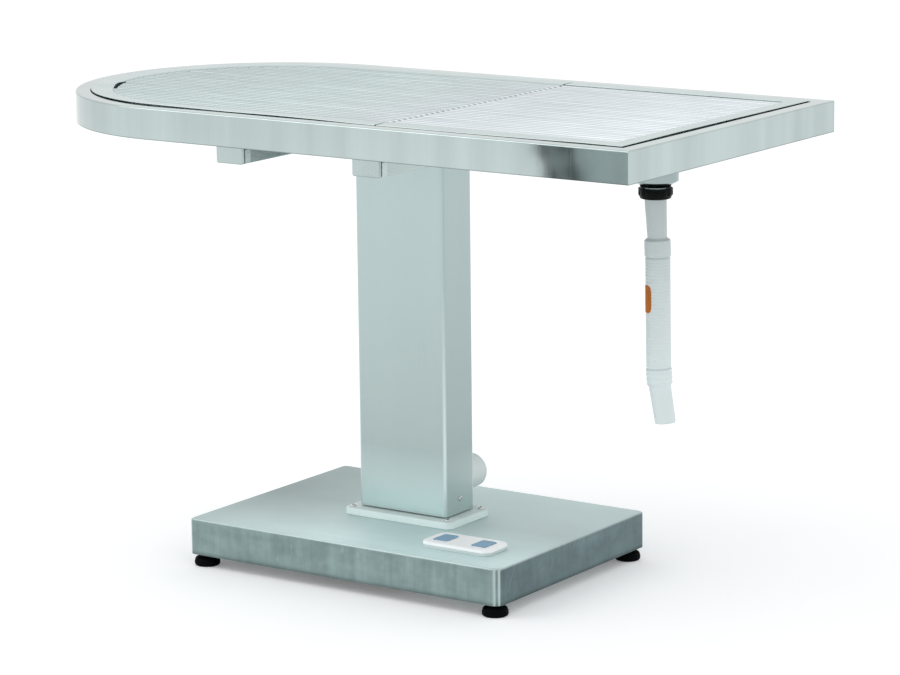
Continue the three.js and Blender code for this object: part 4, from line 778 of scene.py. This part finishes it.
def pan():
    """Rings of the pan from the outer ledge in to the outlet and back below: outline rings, mixes
    (1 - t) outline + t circle, and circles about the drain."""
    lip = top_outline([25.3, 25.3, 43.8, 44.5, 44.8, 44.8, 45.7, 47.8, 43.3], arc=96, bend=1, run=24)
    bearing = np.arctan2(lip[:, 4, 1], lip[:, 4, 0] - DRAIN_X)

    def circle(r):
        return np.stack([DRAIN_X + r * np.cos(bearing), r * np.sin(bearing)], -1)

    def with_height(flat, z):
        return np.concatenate([flat, np.broadcast_to(z, len(flat))[:, None]], -1)

    def on_floor(flat, rise):
        return with_height(flat, floor_height(flat[:, 0]) + rise)

    dish = circle(49.5)
    steps = (0.2, 0.4, 0.6, 0.8)
    rings = [with_height(lip[:, k], z) for k, z in enumerate([LEDGE_TOP - PAN_SHEET, LEDGE_TOP, LEDGE_TOP,
                                                             LEDGE_TOP - 0.3, LEDGE_TOP - 1.0])]
    rings += [on_floor(lip[:, k], rise) for k, rise in ((5, 3.0), (6, 0.9), (7, 0.0))]
    rings += [on_floor(lip[:, 7] + t * (dish - lip[:, 7]), 0.0) for t in steps]
    rings += [on_floor(dish, 0.0), on_floor(circle(48.3), -0.6)]
    rings += [with_height(circle(r), z) for r, z in ((48, SUMP_FLOOR + 0.8), (47, SUMP_FLOOR), (34.6, SUMP_FLOOR),
                                                     (34, SUMP_FLOOR - 0.5), (34, SUMP_FLOOR - PAN_SHEET),
                                                     (49.5, SUMP_FLOOR - PAN_SHEET))]
    rings += [on_floor(dish, -PAN_SHEET)]
    rings += [on_floor(lip[:, 8] + t * (dish - lip[:, 8]), -PAN_SHEET) for t in steps[::-1]]
    rings += [on_floor(lip[:, 8], -PAN_SHEET), with_height(lip[:, 8], LEDGE_TOP - PAN_SHEET)]
    points = np.stack(rings, 1)
    return points, grid_faces(*points.shape[:2], wrap_rows=True, wrap_columns=True)


make_piece("pan", [pan()], "lift", pan_steel, ("tray_floor", "tray_wall"), 30)
print("pan made")

# %% [markdown]
# The grates. Each has a border of angle strip whose flat top laps over its own upright leg, a field of
# round rods just below it, and flat bars under the rods that they are welded to. The borders were bent by
# hand and lie unevenly: on the near side the strip stands a little clear of the rim in places and sinks in
# others, so a dark line comes and goes. Rods could be an array of one cylinder, but then each would be
# perfect; here they come from one array calculation, with domed ends and a seeded small lift and sway.

# %% Grate borders
STRIP_LOW, STRIP_TOP, LEG_LOW = 765.6, 767.2, 746.0
LIPS = {"round": [(57.5, STRIP_TOP), (62, 765.8), (61.6, 764.4), (57, STRIP_LOW)],
        "square": [(57, STRIP_TOP), (58, STRIP_TOP), (58, STRIP_LOW), (57, STRIP_LOW)]}


def border_profile(part):
    """Section of a border: a leg in the pan, a flat strip, and on the round grate a lip that slopes down to
    the rods."""
    corners = [(38, LEG_LOW), (38, STRIP_LOW), (30, STRIP_LOW), (30, STRIP_TOP), *LIPS[part],
               (39.6, STRIP_LOW), (39.6, LEG_LOW)]
    return rounded(corners, [0.4, 0.6, 0.7, 0.7, 0.45, 0.45, 0.45, 0.45, 0.6, 0.4], 4)


WARP_X = [-600, -450, -300, -200, -150, -60, 20, 80, 130, 300, 420, 500, 570]
WARP_Z = [1.0, 1.5, 1.6, 0.9, 0.5, 1.1, 0.5, -0.5, -0.8, -0.8, -0.3, 0.5, 0.2]
END_Y, END_Z = [-280, -120, 60, 280], [0.2, 1.3, 0.9, 0.1]
BUMP_AT, BUMP_WIDE, BUMP_LIFT = -27.0, 8.0, 2.6
EDGE_REACH, REACH_FROM, REACH_TO = 4.2, (-80, -44), (60, 88)


def strip_lift(x, y, inset):
    """Lift of the strip's outer edge: read along X on the near side, along Y at the square end, little at
    the far side; it fades to nothing at the strip's inner edge, inset 58. At the round end the inner edge
    is bent up by a short bump, exp(-(angle / width)^2) about a place a little before the middle."""
    near = np.clip(-y / 200, 0, 1)
    edge = near * np.interp(x, WARP_X, WARP_Z) + (1 - near) * 0.2
    edge = np.where(x > 540, np.interp(y, END_Y, END_Z), edge)
    angle = np.degrees(np.arctan2(y, ROUND_CENTRE - x))
    bump = np.where(x < ROUND_CENTRE, BUMP_LIFT * np.exp(-((angle - BUMP_AT) / BUMP_WIDE) ** 2), 0)
    return edge * np.clip((58 - inset) / 28, 0, 1) + bump * np.clip((inset - 42) / 16, 0, 1)


def eased(value, start, end):
    """A smooth step from 0 at start to 1 at end: t^2 (3 - 2 t)."""
    t = np.clip((value - start) / (end - start), 0, 1)
    return t * t * (3 - 2 * t)


def border(part):
    """The border of one grate with its uneven lie. Round the half circle, from a little before its left end
    to the back, the strip's outer edge is bent out to within a millimetre of the rim: every point outside
    inset 34 is moved along its radius."""
    points, faces = carried(border_profile(part), part, strip_lift, run=40, bend=1)
    if part == "round":
        across = points[..., :2] - [ROUND_CENTRE, 0]
        radius = np.hypot(*np.moveaxis(across, -1, 0))
        angle = np.degrees(np.arctan2(across[..., 1], -across[..., 0]))
        reach = EDGE_REACH * eased(angle, *REACH_FROM) * (1 - eased(angle, *REACH_TO))
        reach = np.where((across[..., 0] < 0) & (radius > HALF_WIDTH - 34), reach, 0)
        points[..., :2] += across * (reach / radius)[..., None]
    return points, faces


print("border profile points:", len(border_profile("round")))

# %% Rods and cross bars
ROD_RADIUS, ROD_PITCH, ROD_COUNT, ROD_HEIGHT = 4.0, 14.7, 34, 762.8
FIELD = 252.0
rod_y = (np.arange(ROD_COUNT) - (ROD_COUNT - 1) / 2) * ROD_PITCH
rng = np.random.default_rng(7)


def rod_field(starts, ends, sides=12):
    """Round rods along X at rod_y: radius 4 times a dome factor near the ends, with a slow sway of the
    middle line, y + a sin(pi u + p), and a lift of a tenth of a millimetre that differs for each rod."""
    share = np.array([0, 0, 0.6, 1.6, 3.0])
    size = np.array([0, 0.6, 0.86, 0.97, 1.0])
    u = np.linspace(0, 1, 9)[1:-1]
    length = (ends - starts)[:, None]
    inner = starts[:, None] + 3.0 + (length - 6.0) * u
    x = np.concatenate([starts[:, None] + share, inner, ends[:, None] - share[::-1]], 1)
    r = ROD_RADIUS * np.concatenate([size, np.ones(len(u)), size[::-1]])
    run = (x - starts[:, None]) / length

    def each(low, high):
        return rng.uniform(low, high, (ROD_COUNT, 1))

    sway = each(0.05, 0.25) * np.sin(math.pi * run + each(0, 6))
    lift = each(-0.1, 0.1) + 0.12 * np.sin(math.pi * run * 2 + each(0, 6))
    angle = np.linspace(0, 2 * math.pi, sides, endpoint=False)
    y = (rod_y[:, None] + sway)[..., None] + r[None, :, None] * np.cos(angle)
    z = (ROD_HEIGHT + lift)[..., None] + r[None, :, None] * np.sin(angle)
    points = np.stack([np.broadcast_to(x[..., None], y.shape), y, z], -1)
    one = grid_faces(x.shape[1], sides, wrap_columns=True)
    faces = one[None] + (np.arange(ROD_COUNT) * x.shape[1] * sides)[:, None, None]
    return points, faces.reshape(-1, 4)


def bar_along_y(section, y_from, y_to):
    """A closed section of (x, z) points carried along Y, both ends filled."""
    x, z = np.asarray(section, float).T
    y = np.array([y_from, y_to])[:, None]
    points = np.stack(np.broadcast_arrays(x[None], y, z[None]), -1)
    count = len(x)
    faces = grid_faces(2, count, wrap_columns=True).tolist()
    return points, faces + [list(range(count)), list(range(count, 2 * count))]


def cross_bars(places, reach):
    """Flat bars along Y at each place: a rounded 4 by 9 rectangle carried from -reach to reach."""
    section = rounded([(-2, 749.5), (2, 749.5), (2, 759.4), (-2, 759.4)], 0.6, 2)
    return [bar_along_y(section + [x, 0], -far, far) for x, far in zip(places, reach)]


LAP = np.where((rod_y > -145) & (rod_y < -75), -10.0, 3.0)
round_starts = ROUND_CENTRE - np.sqrt((FIELD + LAP) ** 2 - rod_y ** 2)
round_bars = np.array([120.5, -164.5, -449.5])
bar_reach = np.sqrt((HALF_WIDTH - 39) ** 2 - np.minimum(round_bars - ROUND_CENTRE, 0) ** 2)
round_rods = rod_field(round_starts, np.full(ROD_COUNT, SEAM - 1.5))
square_rods = rod_field(np.full(ROD_COUNT, SEAM + 1.5), np.full(ROD_COUNT, 543.0))
make_piece("round_border", [border("round")], "grate_round", border_steel, ("grate_round",), 40)
make_piece("round_rods", [round_rods, *cross_bars(round_bars, bar_reach)], "grate_round", round_rod_steel,
           crease=40)
make_piece("square_border", [border("square")], "grate_square", border_steel, ("grate_square",), 40)
make_piece("square_rods", [square_rods, *cross_bars([143.5, 428.5], [HALF_WIDTH - 39] * 2)], "grate_square",
           square_rod_steel, crease=40)
print("rods:", 2 * ROD_COUNT, "bars:", len(round_bars) + 2)

# %% [markdown]
# The base cover, the flange and the two column tubes are folded or drawn sheet with soft edges: a profile of
# inset and height, carried round a rounded rectangle. The cover needs one opening, for the mains inlet in its
# back. A boolean cut would leave long thin faces; here the grid has rows and columns at the opening's edges,
# so two faces are left out and four narrow ones close the sheet's thickness.

# %% Plates and the base cover
COLUMN_X = 4.0
BASE_LENGTH, BASE_WIDTH, BASE_CORNERS = 606.0, 432.0, (8.0, 8.0, 8.0, 18.0)
INLET_X, INLET_Z, INLET_HALF, INLET_TALL = -201.0, 50.0, 14.3, 10.3


def rounded_rectangle(width, depth, corner, insets, bend=10):
    """Rounded rectangle moved inwards by each inset: corner arcs of radius corner less the inset. corner is
    one radius or four, from the back right corner round by the left to the front right."""
    d = np.atleast_1d(np.asarray(insets, float))[None]
    angle = np.radians(np.linspace(0, 90, bend + 1))[:, None]
    quarters = []
    for k, (sx, sy) in enumerate([(1, 1), (-1, 1), (-1, -1), (1, -1)]):
        radius = np.broadcast_to(corner, 4)[k]
        keep, soft = np.maximum(radius, d), np.maximum(radius - d, 0)
        a = angle + k * math.pi / 2
        quarters.append(np.stack([sx * (width / 2 - keep) + soft * np.cos(a),
                                  sy * (depth / 2 - keep) + soft * np.sin(a)], -1))
    return np.concatenate(quarters)


def raised(flat, height):
    """Grid of flat points with a height for each ring, and the faces of that grid, closed round the rows."""
    points = np.concatenate([flat, np.broadcast_to(height, flat.shape[:2])[..., None]], -1)
    return points, grid_faces(*flat.shape[:2], wrap_rows=True)


def plate(width, depth, corner, profile, centre=(0, 0), bend=10):
    """An open profile of (inset, height) carried round a rounded rectangle, its first and last ring filled."""
    inset, height = np.asarray(profile, float).T
    points, faces = raised(rounded_rectangle(width, depth, corner, inset, bend) + np.asarray(centre, float), height)
    rows, columns = points.shape[:2]
    return points, faces.tolist() + [(np.arange(rows) * columns + k).tolist() for k in (0, columns - 1)]


def edge_arc(inset, height, size, steps=6):
    """Quarter circle from a vertical wall to a flat top, as (inset, height) points."""
    a = np.linspace(0, math.pi / 2, steps + 1)
    return np.stack([inset + size * (1 - np.cos(a)), height - size * (1 - np.sin(a))], 1)


def base_cover():
    """Folded cover, 2 mm sheet, open below, with the inlet's window in its back wall."""
    low, high = INLET_Z - INLET_TALL, INLET_Z + INLET_TALL
    profile = np.concatenate([[(24, 78), (3, 78), (2.2, 77.2), (2, 76), (2, high), (2, low), (2, 20.2), (1.8, 20),
                               (0.2, 20), (0, 20.2), (0, low), (0, high)], edge_arc(0, 80, 4, 8), [(24, 80)]])
    inset, height = profile.T
    flat = rounded_rectangle(BASE_LENGTH, BASE_WIDTH, BASE_CORNERS, inset, 14) + [COLUMN_X, 0]
    jambs = np.array([INLET_X + INLET_HALF, INLET_X - INLET_HALF])[:, None]
    window = np.stack(np.broadcast_arrays(jambs, BASE_WIDTH / 2 - inset[None]), -1)
    points, faces = raised(np.concatenate([flat[:15], window, flat[15:]]), height)
    rows, columns = points.shape[:2]
    keep = np.ones(len(faces), bool)
    keep[15 * (columns - 1) + np.array([4, 10])] = False
    a, b = 15 * columns, 16 * columns
    sides = [[s + k for k in (4, 5, 10, 11)] for s in (a, b)]
    lintels = [[a + 4, a + 11, b + 11, b + 4], [a + 5, a + 10, b + 10, b + 5]]
    ends = [(np.arange(rows) * columns + k).tolist() for k in (0, columns - 1)]
    return points, faces[keep].tolist() + sides + lintels + ends


make_piece("base_shell", [base_cover()], "base", base_steel, ("base_cover", "base_skirt"), 40)
flange_profile = np.concatenate([[(20, 80.3), (0.5, 80.3), (0, 80.8)], edge_arc(0, 92.3, 1.6, 6), [(30, 92.3)]])
make_piece("flange", [plate(210, 119, 12, flange_profile, (COLUMN_X, 0))], "base", flange_paint,
           ("column_flange",), 40)
print("base and flange made")

# %% [markdown]
# The column is two tubes, one inside the other. Both walls behind leave a round-topped gap for the motor, which
# stands out of the back. The gap is part of the grid: the lower end of each upright line starts where the
# arch is at that place, z = axis + sqrt(r^2 - x^2).

# %% Column tubes
MOTOR_X, MOTOR_Z, ARCH = 47.9, 141.1, 30.0


def notched_tube(width, depth, corner, wall, low, top, edge=0.5):
    """Rectangular tube from low to top, its small edges broken, with the arch over the motor at the back."""
    inset = np.array([edge, 0, 0, 0, edge, wall - edge, wall, wall, wall, wall - edge])
    flat = rounded_rectangle(width, depth, corner, inset, 8)
    x = MOTOR_X - COLUMN_X + ARCH * np.cos(np.linspace(0, math.pi, 25))
    x = np.concatenate([x[:1] + 0.02, x, x[-1:] - 0.02])
    back = np.stack(np.broadcast_arrays(x[:, None], depth / 2 - inset[None]), -1)
    start = np.full(len(flat) + len(back), low)
    start[10:10 + 25] = MOTOR_Z + ARCH * np.sin(np.linspace(0, math.pi, 25))
    flat = np.concatenate([flat[:9], back, flat[9:]]) + [COLUMN_X, 0]
    level = MOTOR_Z + ARCH + 4
    fixed = np.array([0, 0, level, top - edge, top, top, top - edge, level, 0, 0])
    offset = np.array([0, edge, 0, 0, 0, 0, 0, 0, edge, 0])
    z = np.where(fixed[None] > 0, fixed[None], start[:, None] + offset[None])
    points = np.concatenate([flat, z[..., None]], -1)
    return points, grid_faces(*z.shape, wrap_rows=True, wrap_columns=True)


make_piece("sleeve", [notched_tube(171, 82, 6, 2, 94.3, 682.1)], "lift", column_steel, ("column_sleeve",),
           40)
make_piece("fixed_tube", [notched_tube(157.8, 68.8, 4.9, 3, 92.6, 662.1)], "base", plated_steel,
           ("inner_column",), 40)
print("column tubes made")

# %% [markdown]
# The two cross beams are rectangular tubes under the top. Each end carries a cap whose plate lies in the
# plane of the rim's face, so from the front one sees four tabs that hang from the rim, with a narrow slit
# between the plate and the end of the tube.

# %% Cross beams and tabs
BEAM_LOW, BEAM_TOP = 690.7, 715.7


def beam(x):
    """Rectangular tube 50 by 25 with 2 mm walls along Y."""
    inset = np.array([0.3, 0, 0, 0.3, 1.7, 2, 2, 1.7])
    y = np.array([-301, -300.7, 300.7, 301, 301, 300.7, -300.7, -301])
    flat = rounded_rectangle(50, 25, 3, inset, 6) + [x, (BEAM_LOW + BEAM_TOP) / 2]
    points = np.stack([flat[..., 0], np.broadcast_to(y, flat.shape[:2]), flat[..., 1]], -1)
    return points, grid_faces(*flat.shape[:2], wrap_rows=True, wrap_columns=True)


def tab(x, end):
    """Cap plate in the plane of the rim's face, lower corners rounded, face edges broken, and its plug."""
    rings = []
    for d, y in ((0.3, 304.0), (0, 304.3), (0, 309.2), (0.25, 309.75), (0.8, 310.0)):
        low, half = BEAM_LOW + d, 25 - d
        outline = rounded([(-half, low), (half, low), (half, RIM_LOW), (-half, RIM_LOW)],
                          [3 - d, 3 - d, 0.05, 0.05], 5)
        rings.append(np.stack([x + outline[:, 0], np.full(len(outline), end * y), outline[:, 1]], -1))
    points = np.stack(rings)
    count = points.shape[1]
    faces = grid_faces(len(rings), count, wrap_columns=True).tolist()
    lip = points, faces + [list(range(count)), list(range(4 * count, 5 * count))]
    plug = rounded([(x - 22.7, 693.0), (x + 22.7, 693.0), (x + 22.7, 713.4), (x - 22.7, 713.4)], 1.0, 2)
    return [lip, bar_along_y(plug, end * 286, end * 304.1)]


for word, x in (("left", COLUMN_X - 130), ("right", COLUMN_X + 130)):
    make_piece(f"beam_{word}", [beam(x)], "lift", beam_steel[word], (f"cross_beam_{word}",), 40)
    for where, end in (("front", -1), ("back", 1)):
        make_piece(f"tab_{word}_{where}", tab(x, end), "lift", tab_steel, (f"beam_cap_{word}_{where}",),
                   40)
print("beams and tabs made")

# %% [markdown]
# Fasteners: button heads with a hexagon socket on the flange and the sleeve, hexagon heads under the head
# plate. A socket's wall is a circle whose radius follows a hexagon, r = a / cos(angle from the flat), so
# the head and its socket are one turned grid with a radius that depends on the angle.

# %% Fasteners
def hexagon(angle, across):
    """Radius of a hexagon of that width across its flats, at each angle."""
    folded = np.mod(angle + math.pi / 6, math.pi / 3) - math.pi / 6
    return across / 2 / np.cos(folded)


def button_head(centre, axis, head, rise, socket, steps=36):
    """A domed head about an axis, with a hexagon socket: rings go up the dome and down into the socket."""
    angle = np.linspace(0, 2 * math.pi, steps, endpoint=False)
    a = np.linspace(0, math.pi / 2, 6)
    flat = socket * 0.78
    dome_r = np.concatenate([[0, head, head], flat + (head - flat) * np.cos(a)])
    dome_h = np.concatenate([[0, 0, 0.15 * rise], rise * (0.15 + 0.85 * np.sin(a))])
    wall = hexagon(angle, socket)
    r = np.concatenate([dome_r[:, None] * np.ones(steps), np.array([1, 1, 0])[:, None] * wall])
    h = np.concatenate([dome_h, [rise - 0.15, rise * 0.3, rise * 0.25]])[:, None] * np.ones(steps)
    u, v = r * np.cos(angle), r * np.sin(angle)
    order = {"+z": (u, v, h), "+x": (h, u, v), "-x": (-h, -u, v)}[axis]
    return np.stack(order, -1) + np.asarray(centre, float), grid_faces(len(r), steps, wrap_columns=True)


def hex_head(centre, across, rise, steps=36):
    """A hexagon head that points down, its lower corners turned off by a cone: the smaller of the hexagon
    and the cone's radius."""
    angle = np.linspace(0, 2 * math.pi, steps, endpoint=False)
    wall = hexagon(angle, across)
    r = np.array([wall * 0, wall, wall, np.minimum(wall, across * 0.51), wall * 0])
    h = np.array([0, 0, -rise * 0.86, -rise, -rise])[:, None] * np.ones(steps)
    return np.stack([r * np.cos(angle), r * np.sin(angle), h], -1) + np.asarray(centre, float), \
        grid_faces(5, steps, wrap_columns=True)


FOOT_X, FOOT_Y = 283.0, 196.0
flange_bolts = [button_head((COLUMN_X + x, y, 92.3), "+z", 5.2, 3.0, 4.0) for x in (-93.5, 93.5) for y in (-48, 48)]
make_piece("flange_bolts", flange_bolts, "base", bright_steel)
make_piece("sleeve_screws", [button_head((89.5, 0, 118.3), "+x", 4.4, 2.2, 3.0),
                             button_head((-81.5, 0, 118.3), "-x", 4.4, 2.2, 3.0)],
           "lift", bright_steel)
make_piece("head_bolts", [hex_head((COLUMN_X + x, y, 682.4), 13, 5.5) for x in (-130, 130) for y in (-60, 60)],
           "lift", plated_steel)
make_piece("foot_nuts", [hex_head((COLUMN_X + x, y, 31.5), 17, 6.0) for x in (-FOOT_X, FOOT_X)
                         for y in (-FOOT_Y, FOOT_Y)], "base", plated_steel)
print("fasteners:", len(flange_bolts) + 2 + 8)

# %% [markdown]
# Turned pieces: rubber feet, the motor's drum behind the column, the drain cup and its black nut. A screw
# modifier could spin a drawn profile, but a turned grid does the same in one line and lets the nut's ribs
# be part of the radius.

# %% Feet, motor and cup
foot_profile = [(0, 0), (17.6, 0), (18.8, 0.4), (20.4, 2.0), (21, 3.6), (21, 7.6), (20.7, 8.4), (19.6, 11.8),
                (19, 12.8), (17.6, 13.8), (14.2, 15.4), (13.2, 16.2), (13, 17), (13, 19.2), (12.6, 19.7), (0, 19.7)]
for x, along_x in ((-FOOT_X, "left"), (FOOT_X, "right")):
    for y, along_y in ((-FOOT_Y, "front"), (FOOT_Y, "back")):
        quarter = f"{along_y}_{along_x}"
        make_piece(f"foot_{quarter}", [turned(foot_profile, 48, "z", (COLUMN_X + x, y, 0))], f"foot_{quarter}",
                   black_rubber, (f"foot_pad_{quarter}",), 50)

dome = np.linspace(0, math.pi / 2, 9)
motor_profile = np.concatenate([[(0, 27.7), (25.4, 27.7), (26, 28.3), (26, 41.2), (27.4, 41.2), (28, 41.8),
                                 (28, 92.6), (27.6, 93.0), (27.6, 94.0), (28, 94.4), (28, 96.8)],
                                np.stack([12 + 16 * np.cos(dome), 97 + 9 * np.sin(dome)], 1), [(0, 106)]])
make_piece("motor_drum", [turned(motor_profile, 64, "y", (MOTOR_X, 0, MOTOR_Z))], "base", motor_plastic,
           ("drive_motor",), 40)

cup_profile = [(20, 649.9), (20, 662.4), (20.6, 662.9), (23.6, 662.9), (24.6, 663.2), (35, 669.2), (36, 670.6),
               (36, 707.5), (35.7, 707.9), (34, 707.9), (34, 672.4), (33.4, 671.6), (17, 665.2), (16, 664.2),
               (16, 649.9), (20, 649.9)]
make_piece("cup", [turned(cup_profile, 64, "z", (DRAIN_X, 0, 0))], "lift", cup_steel, ("drain_cup",),
           40)
print("feet, motor and cup made")

# %% Union nut
def ribbed_nut(rib_count=13, steps=156):
    """Turned nut whose radius is r + rib (0.5 + 0.5 cos(13 angle))^0.6 where the profile has ribs."""
    profile = np.array([(658.3, 20.4, 0), (658.3, 26.3, 0), (657.9, 26.8, 0), (655.8, 26.9, 0), (655.3, 26.5, 0),
                        (655.0, 25.7, 0.4), (654.2, 25.6, 1.0), (648.4, 25.6, 1.0), (647.4, 25.4, 0.6),
                        (646.6, 25.2, 0), (642.9, 23.9, 0), (642.4, 23.2, 0), (642.3, 18.5, 0), (646.2, 18.5, 0),
                        (646.3, 20.4, 0), (658.3, 20.4, 0)])
    angle = np.linspace(0, 2 * math.pi, steps, endpoint=False)
    r = profile[:, 1:2] + 1.3 * profile[:, 2:] * (0.5 + 0.5 * np.cos(rib_count * angle)) ** 0.6
    z = np.broadcast_to(profile[:, :1], r.shape)
    return np.stack([DRAIN_X + r * np.cos(angle), r * np.sin(angle), z], -1), \
        grid_faces(len(profile), steps, wrap_columns=True)


make_piece("nut", [ribbed_nut()], "lift", black_plastic, ("union_nut",), 40)
seal_profile = [(20.3, 660.6), (23.4, 660.6), (24.0, 661.2), (24.0, 662.0), (23.4, 662.6), (20.3, 662.6), (20.3, 660.6)]
make_piece("neck_ring", [turned(seal_profile, 64, "z", (DRAIN_X, 0, 0))], "lift", black_rubber, ("neck_seal",),
           40)
print("nut and seal made")

# %% [markdown]
# The foot switch is a flat white cover on a grey tray, with two soft blue pads, a little dished so that a shoe finds
# them; the tray's grey is a painted reflection, standing in for the pale band that the base top mirrors under the
# cover. Each pad rides on its own body, because it moves when pressed. The housing's top has two windows. It is made of
# three grids that share their edges: a skirt, and a left and a right half whose rings go from the half's edge to its
# window, down through the window and out again below.

# %% Foot switch
SWITCH_X, SWITCH_Y, SWITCH_LOW, SWITCH_TOP, PAD_AT = 188.0, -132.0, 85.2, 90.3, 36.0


def squircle(angle, a, b, power=14.0):
    """Points of a superellipse at each angle: r = (|cos/a|^n + |sin/b|^n)^(-1/n)."""
    r = (np.abs(np.cos(angle) / a) ** power + np.abs(np.sin(angle) / b) ** power) ** (-1 / power)
    return np.stack([r * np.cos(angle), r * np.sin(angle)], -1)


def housing_half(inset, side):
    """Edge of one half of the housing: front middle, two corners, back middle, and along the middle line."""
    flat = rounded_rectangle(130, 68, 16, inset, 12)[:, 0]
    middle = np.linspace(34 - inset, inset - 34, 9)
    split = np.stack([np.zeros(9), middle], -1)
    return np.concatenate([split[-1:], flat[39:], flat[:13], split[:-1]]) * [side, 1]


def housing():
    """Skirt and two halves; every ring is a list of flat points with one height."""
    corner = edge_arc(0, SWITCH_TOP, 4, 8)
    profile = np.concatenate([[(2, SWITCH_TOP - 2), (2, SWITCH_LOW), (0.3, SWITCH_LOW),
                               (0, SWITCH_LOW + 0.3)], corner])
    inset, height = profile.T
    ring = rounded_rectangle(130, 68, 16, inset, 12)
    back = np.stack([np.zeros(len(inset)), 34 - inset], -1)[None]
    skirt = np.concatenate([ring[:13], back, ring[13:39], -back, ring[39:]]) + [SWITCH_X, SWITCH_Y]
    shells = [raised(skirt, height)]
    for side in (1, -1):
        outer, inner = housing_half(4.0, side), housing_half(2.0, side)
        centre = np.array([PAD_AT * side, 0])
        bearing = np.arctan2(*(outer - centre).T[::-1])
        window = [squircle(bearing, 13.8 + d, 18.3 + d) + centre for d in (0.5, 0.15, 0, 0)]
        rings = np.stack([outer, *window, inner], 1) + [SWITCH_X, SWITCH_Y]
        level = SWITCH_TOP - np.array([0, 0, 0.15, 0.5, 2, 2])
        shells.append(raised(rings, level))
    return shells


make_piece("switch_shell", housing(), "base", white_plastic, ("switch_housing",), 40)
# Painted reflection: a grey plate under the white cover stands in for the pale band that the base top mirrors below it.
reflection_band_profile = [(24, 81.6), (2.4, 81.6), (2.4, 85.0), (0.5, 85.0), (0.5, 80.6), (0.8, 80.3), (24, 80.3)]
make_piece("switch_reflection_band", [plate(130, 68, 16, reflection_band_profile, (SWITCH_X, SWITCH_Y))], "base", painted_reflection_grey,
           crease=40)

pad_profile = np.concatenate([[(9, 86.8), (-1.8, 86.8), (-2, 87.0), (-2, 87.8), (-1.8, 88.0), (0, 88.0)],
                              edge_arc(0, 91.8, 1.2, 5), [(3.0, 91.75), (5.2, 91.45), (8, 91.3), (11, 91.25)]])
pad_turn = np.linspace(0, 2 * math.pi, 72, endpoint=False)
for word, x in (("up", SWITCH_X - PAD_AT), ("down", SWITCH_X + PAD_AT)):
    rings = np.stack([squircle(pad_turn, 13.5 - d, 18 - d) for d in pad_profile[:, 0]], 1) + [x, SWITCH_Y]
    points, faces = raised(rings, pad_profile[:, 1])
    columns = len(pad_profile)
    ends = [(np.arange(len(pad_turn)) * columns + k).tolist() for k in (0, columns - 1)]
    make_piece(f"pad_{word}", [(points, faces.tolist() + ends)], f"button_{word}", blue_plastic,
               (f"button_{word}",), 40)
print("switch and pads made")

# %% [markdown]
# The mains inlet at the back holds three flat contact pins. They are tiny, but an empty socket looks like
# a hole, so they are made as rounded bars.

# %% Inlet pins
pin_section = rounded([(-1, -2), (1, -2), (1, 2), (-1, 2)], 0.4, 3)
make_piece("inlet_pins", [bar_along_y(pin_section + [INLET_X + dx, INLET_Z + dz], 197.3, 214.0)
                          for dx, dz in ((-7, -2), (0, 2), (7, -2))], "base", bright_steel)
print("pins made")

# %% [markdown]
# What is left are solids whose shapes are already right: the actuator, the frame inside the base, seals and
# plates. They keep their meshes and take the finish of the material that they are made of.

# %% Finishes of the solids that stay
solid_finish = {
    "head_plate": plated_steel, "drain_strainer": pan_steel, "push_tube": bright_steel, "spindle": bright_steel,
    "actuator_tube": plated_steel, "actuator_gearbox": dark_paint, "tube_gland": black_plastic,
    "guide_upper": slide_plastic, "guide_lower": slide_plastic, "drive_nut": slide_plastic,
    "base_frame": dark_paint, "column_plate": dark_paint, "control_box": black_plastic,
    "mains_inlet": black_plastic, "micro_switch_up": black_plastic, "micro_switch_down": black_plastic,
    "switch_plate": plated_steel, "drain_seal": black_rubber,
}
for name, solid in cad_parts.items():
    if name.startswith("foot_stud"):
        solid_finish[name] = plated_steel
    if name in solid_finish:
        solid.data.materials.clear()
        solid.data.materials.append(solid_finish[name])
print("solids dressed:", len(solid_finish))
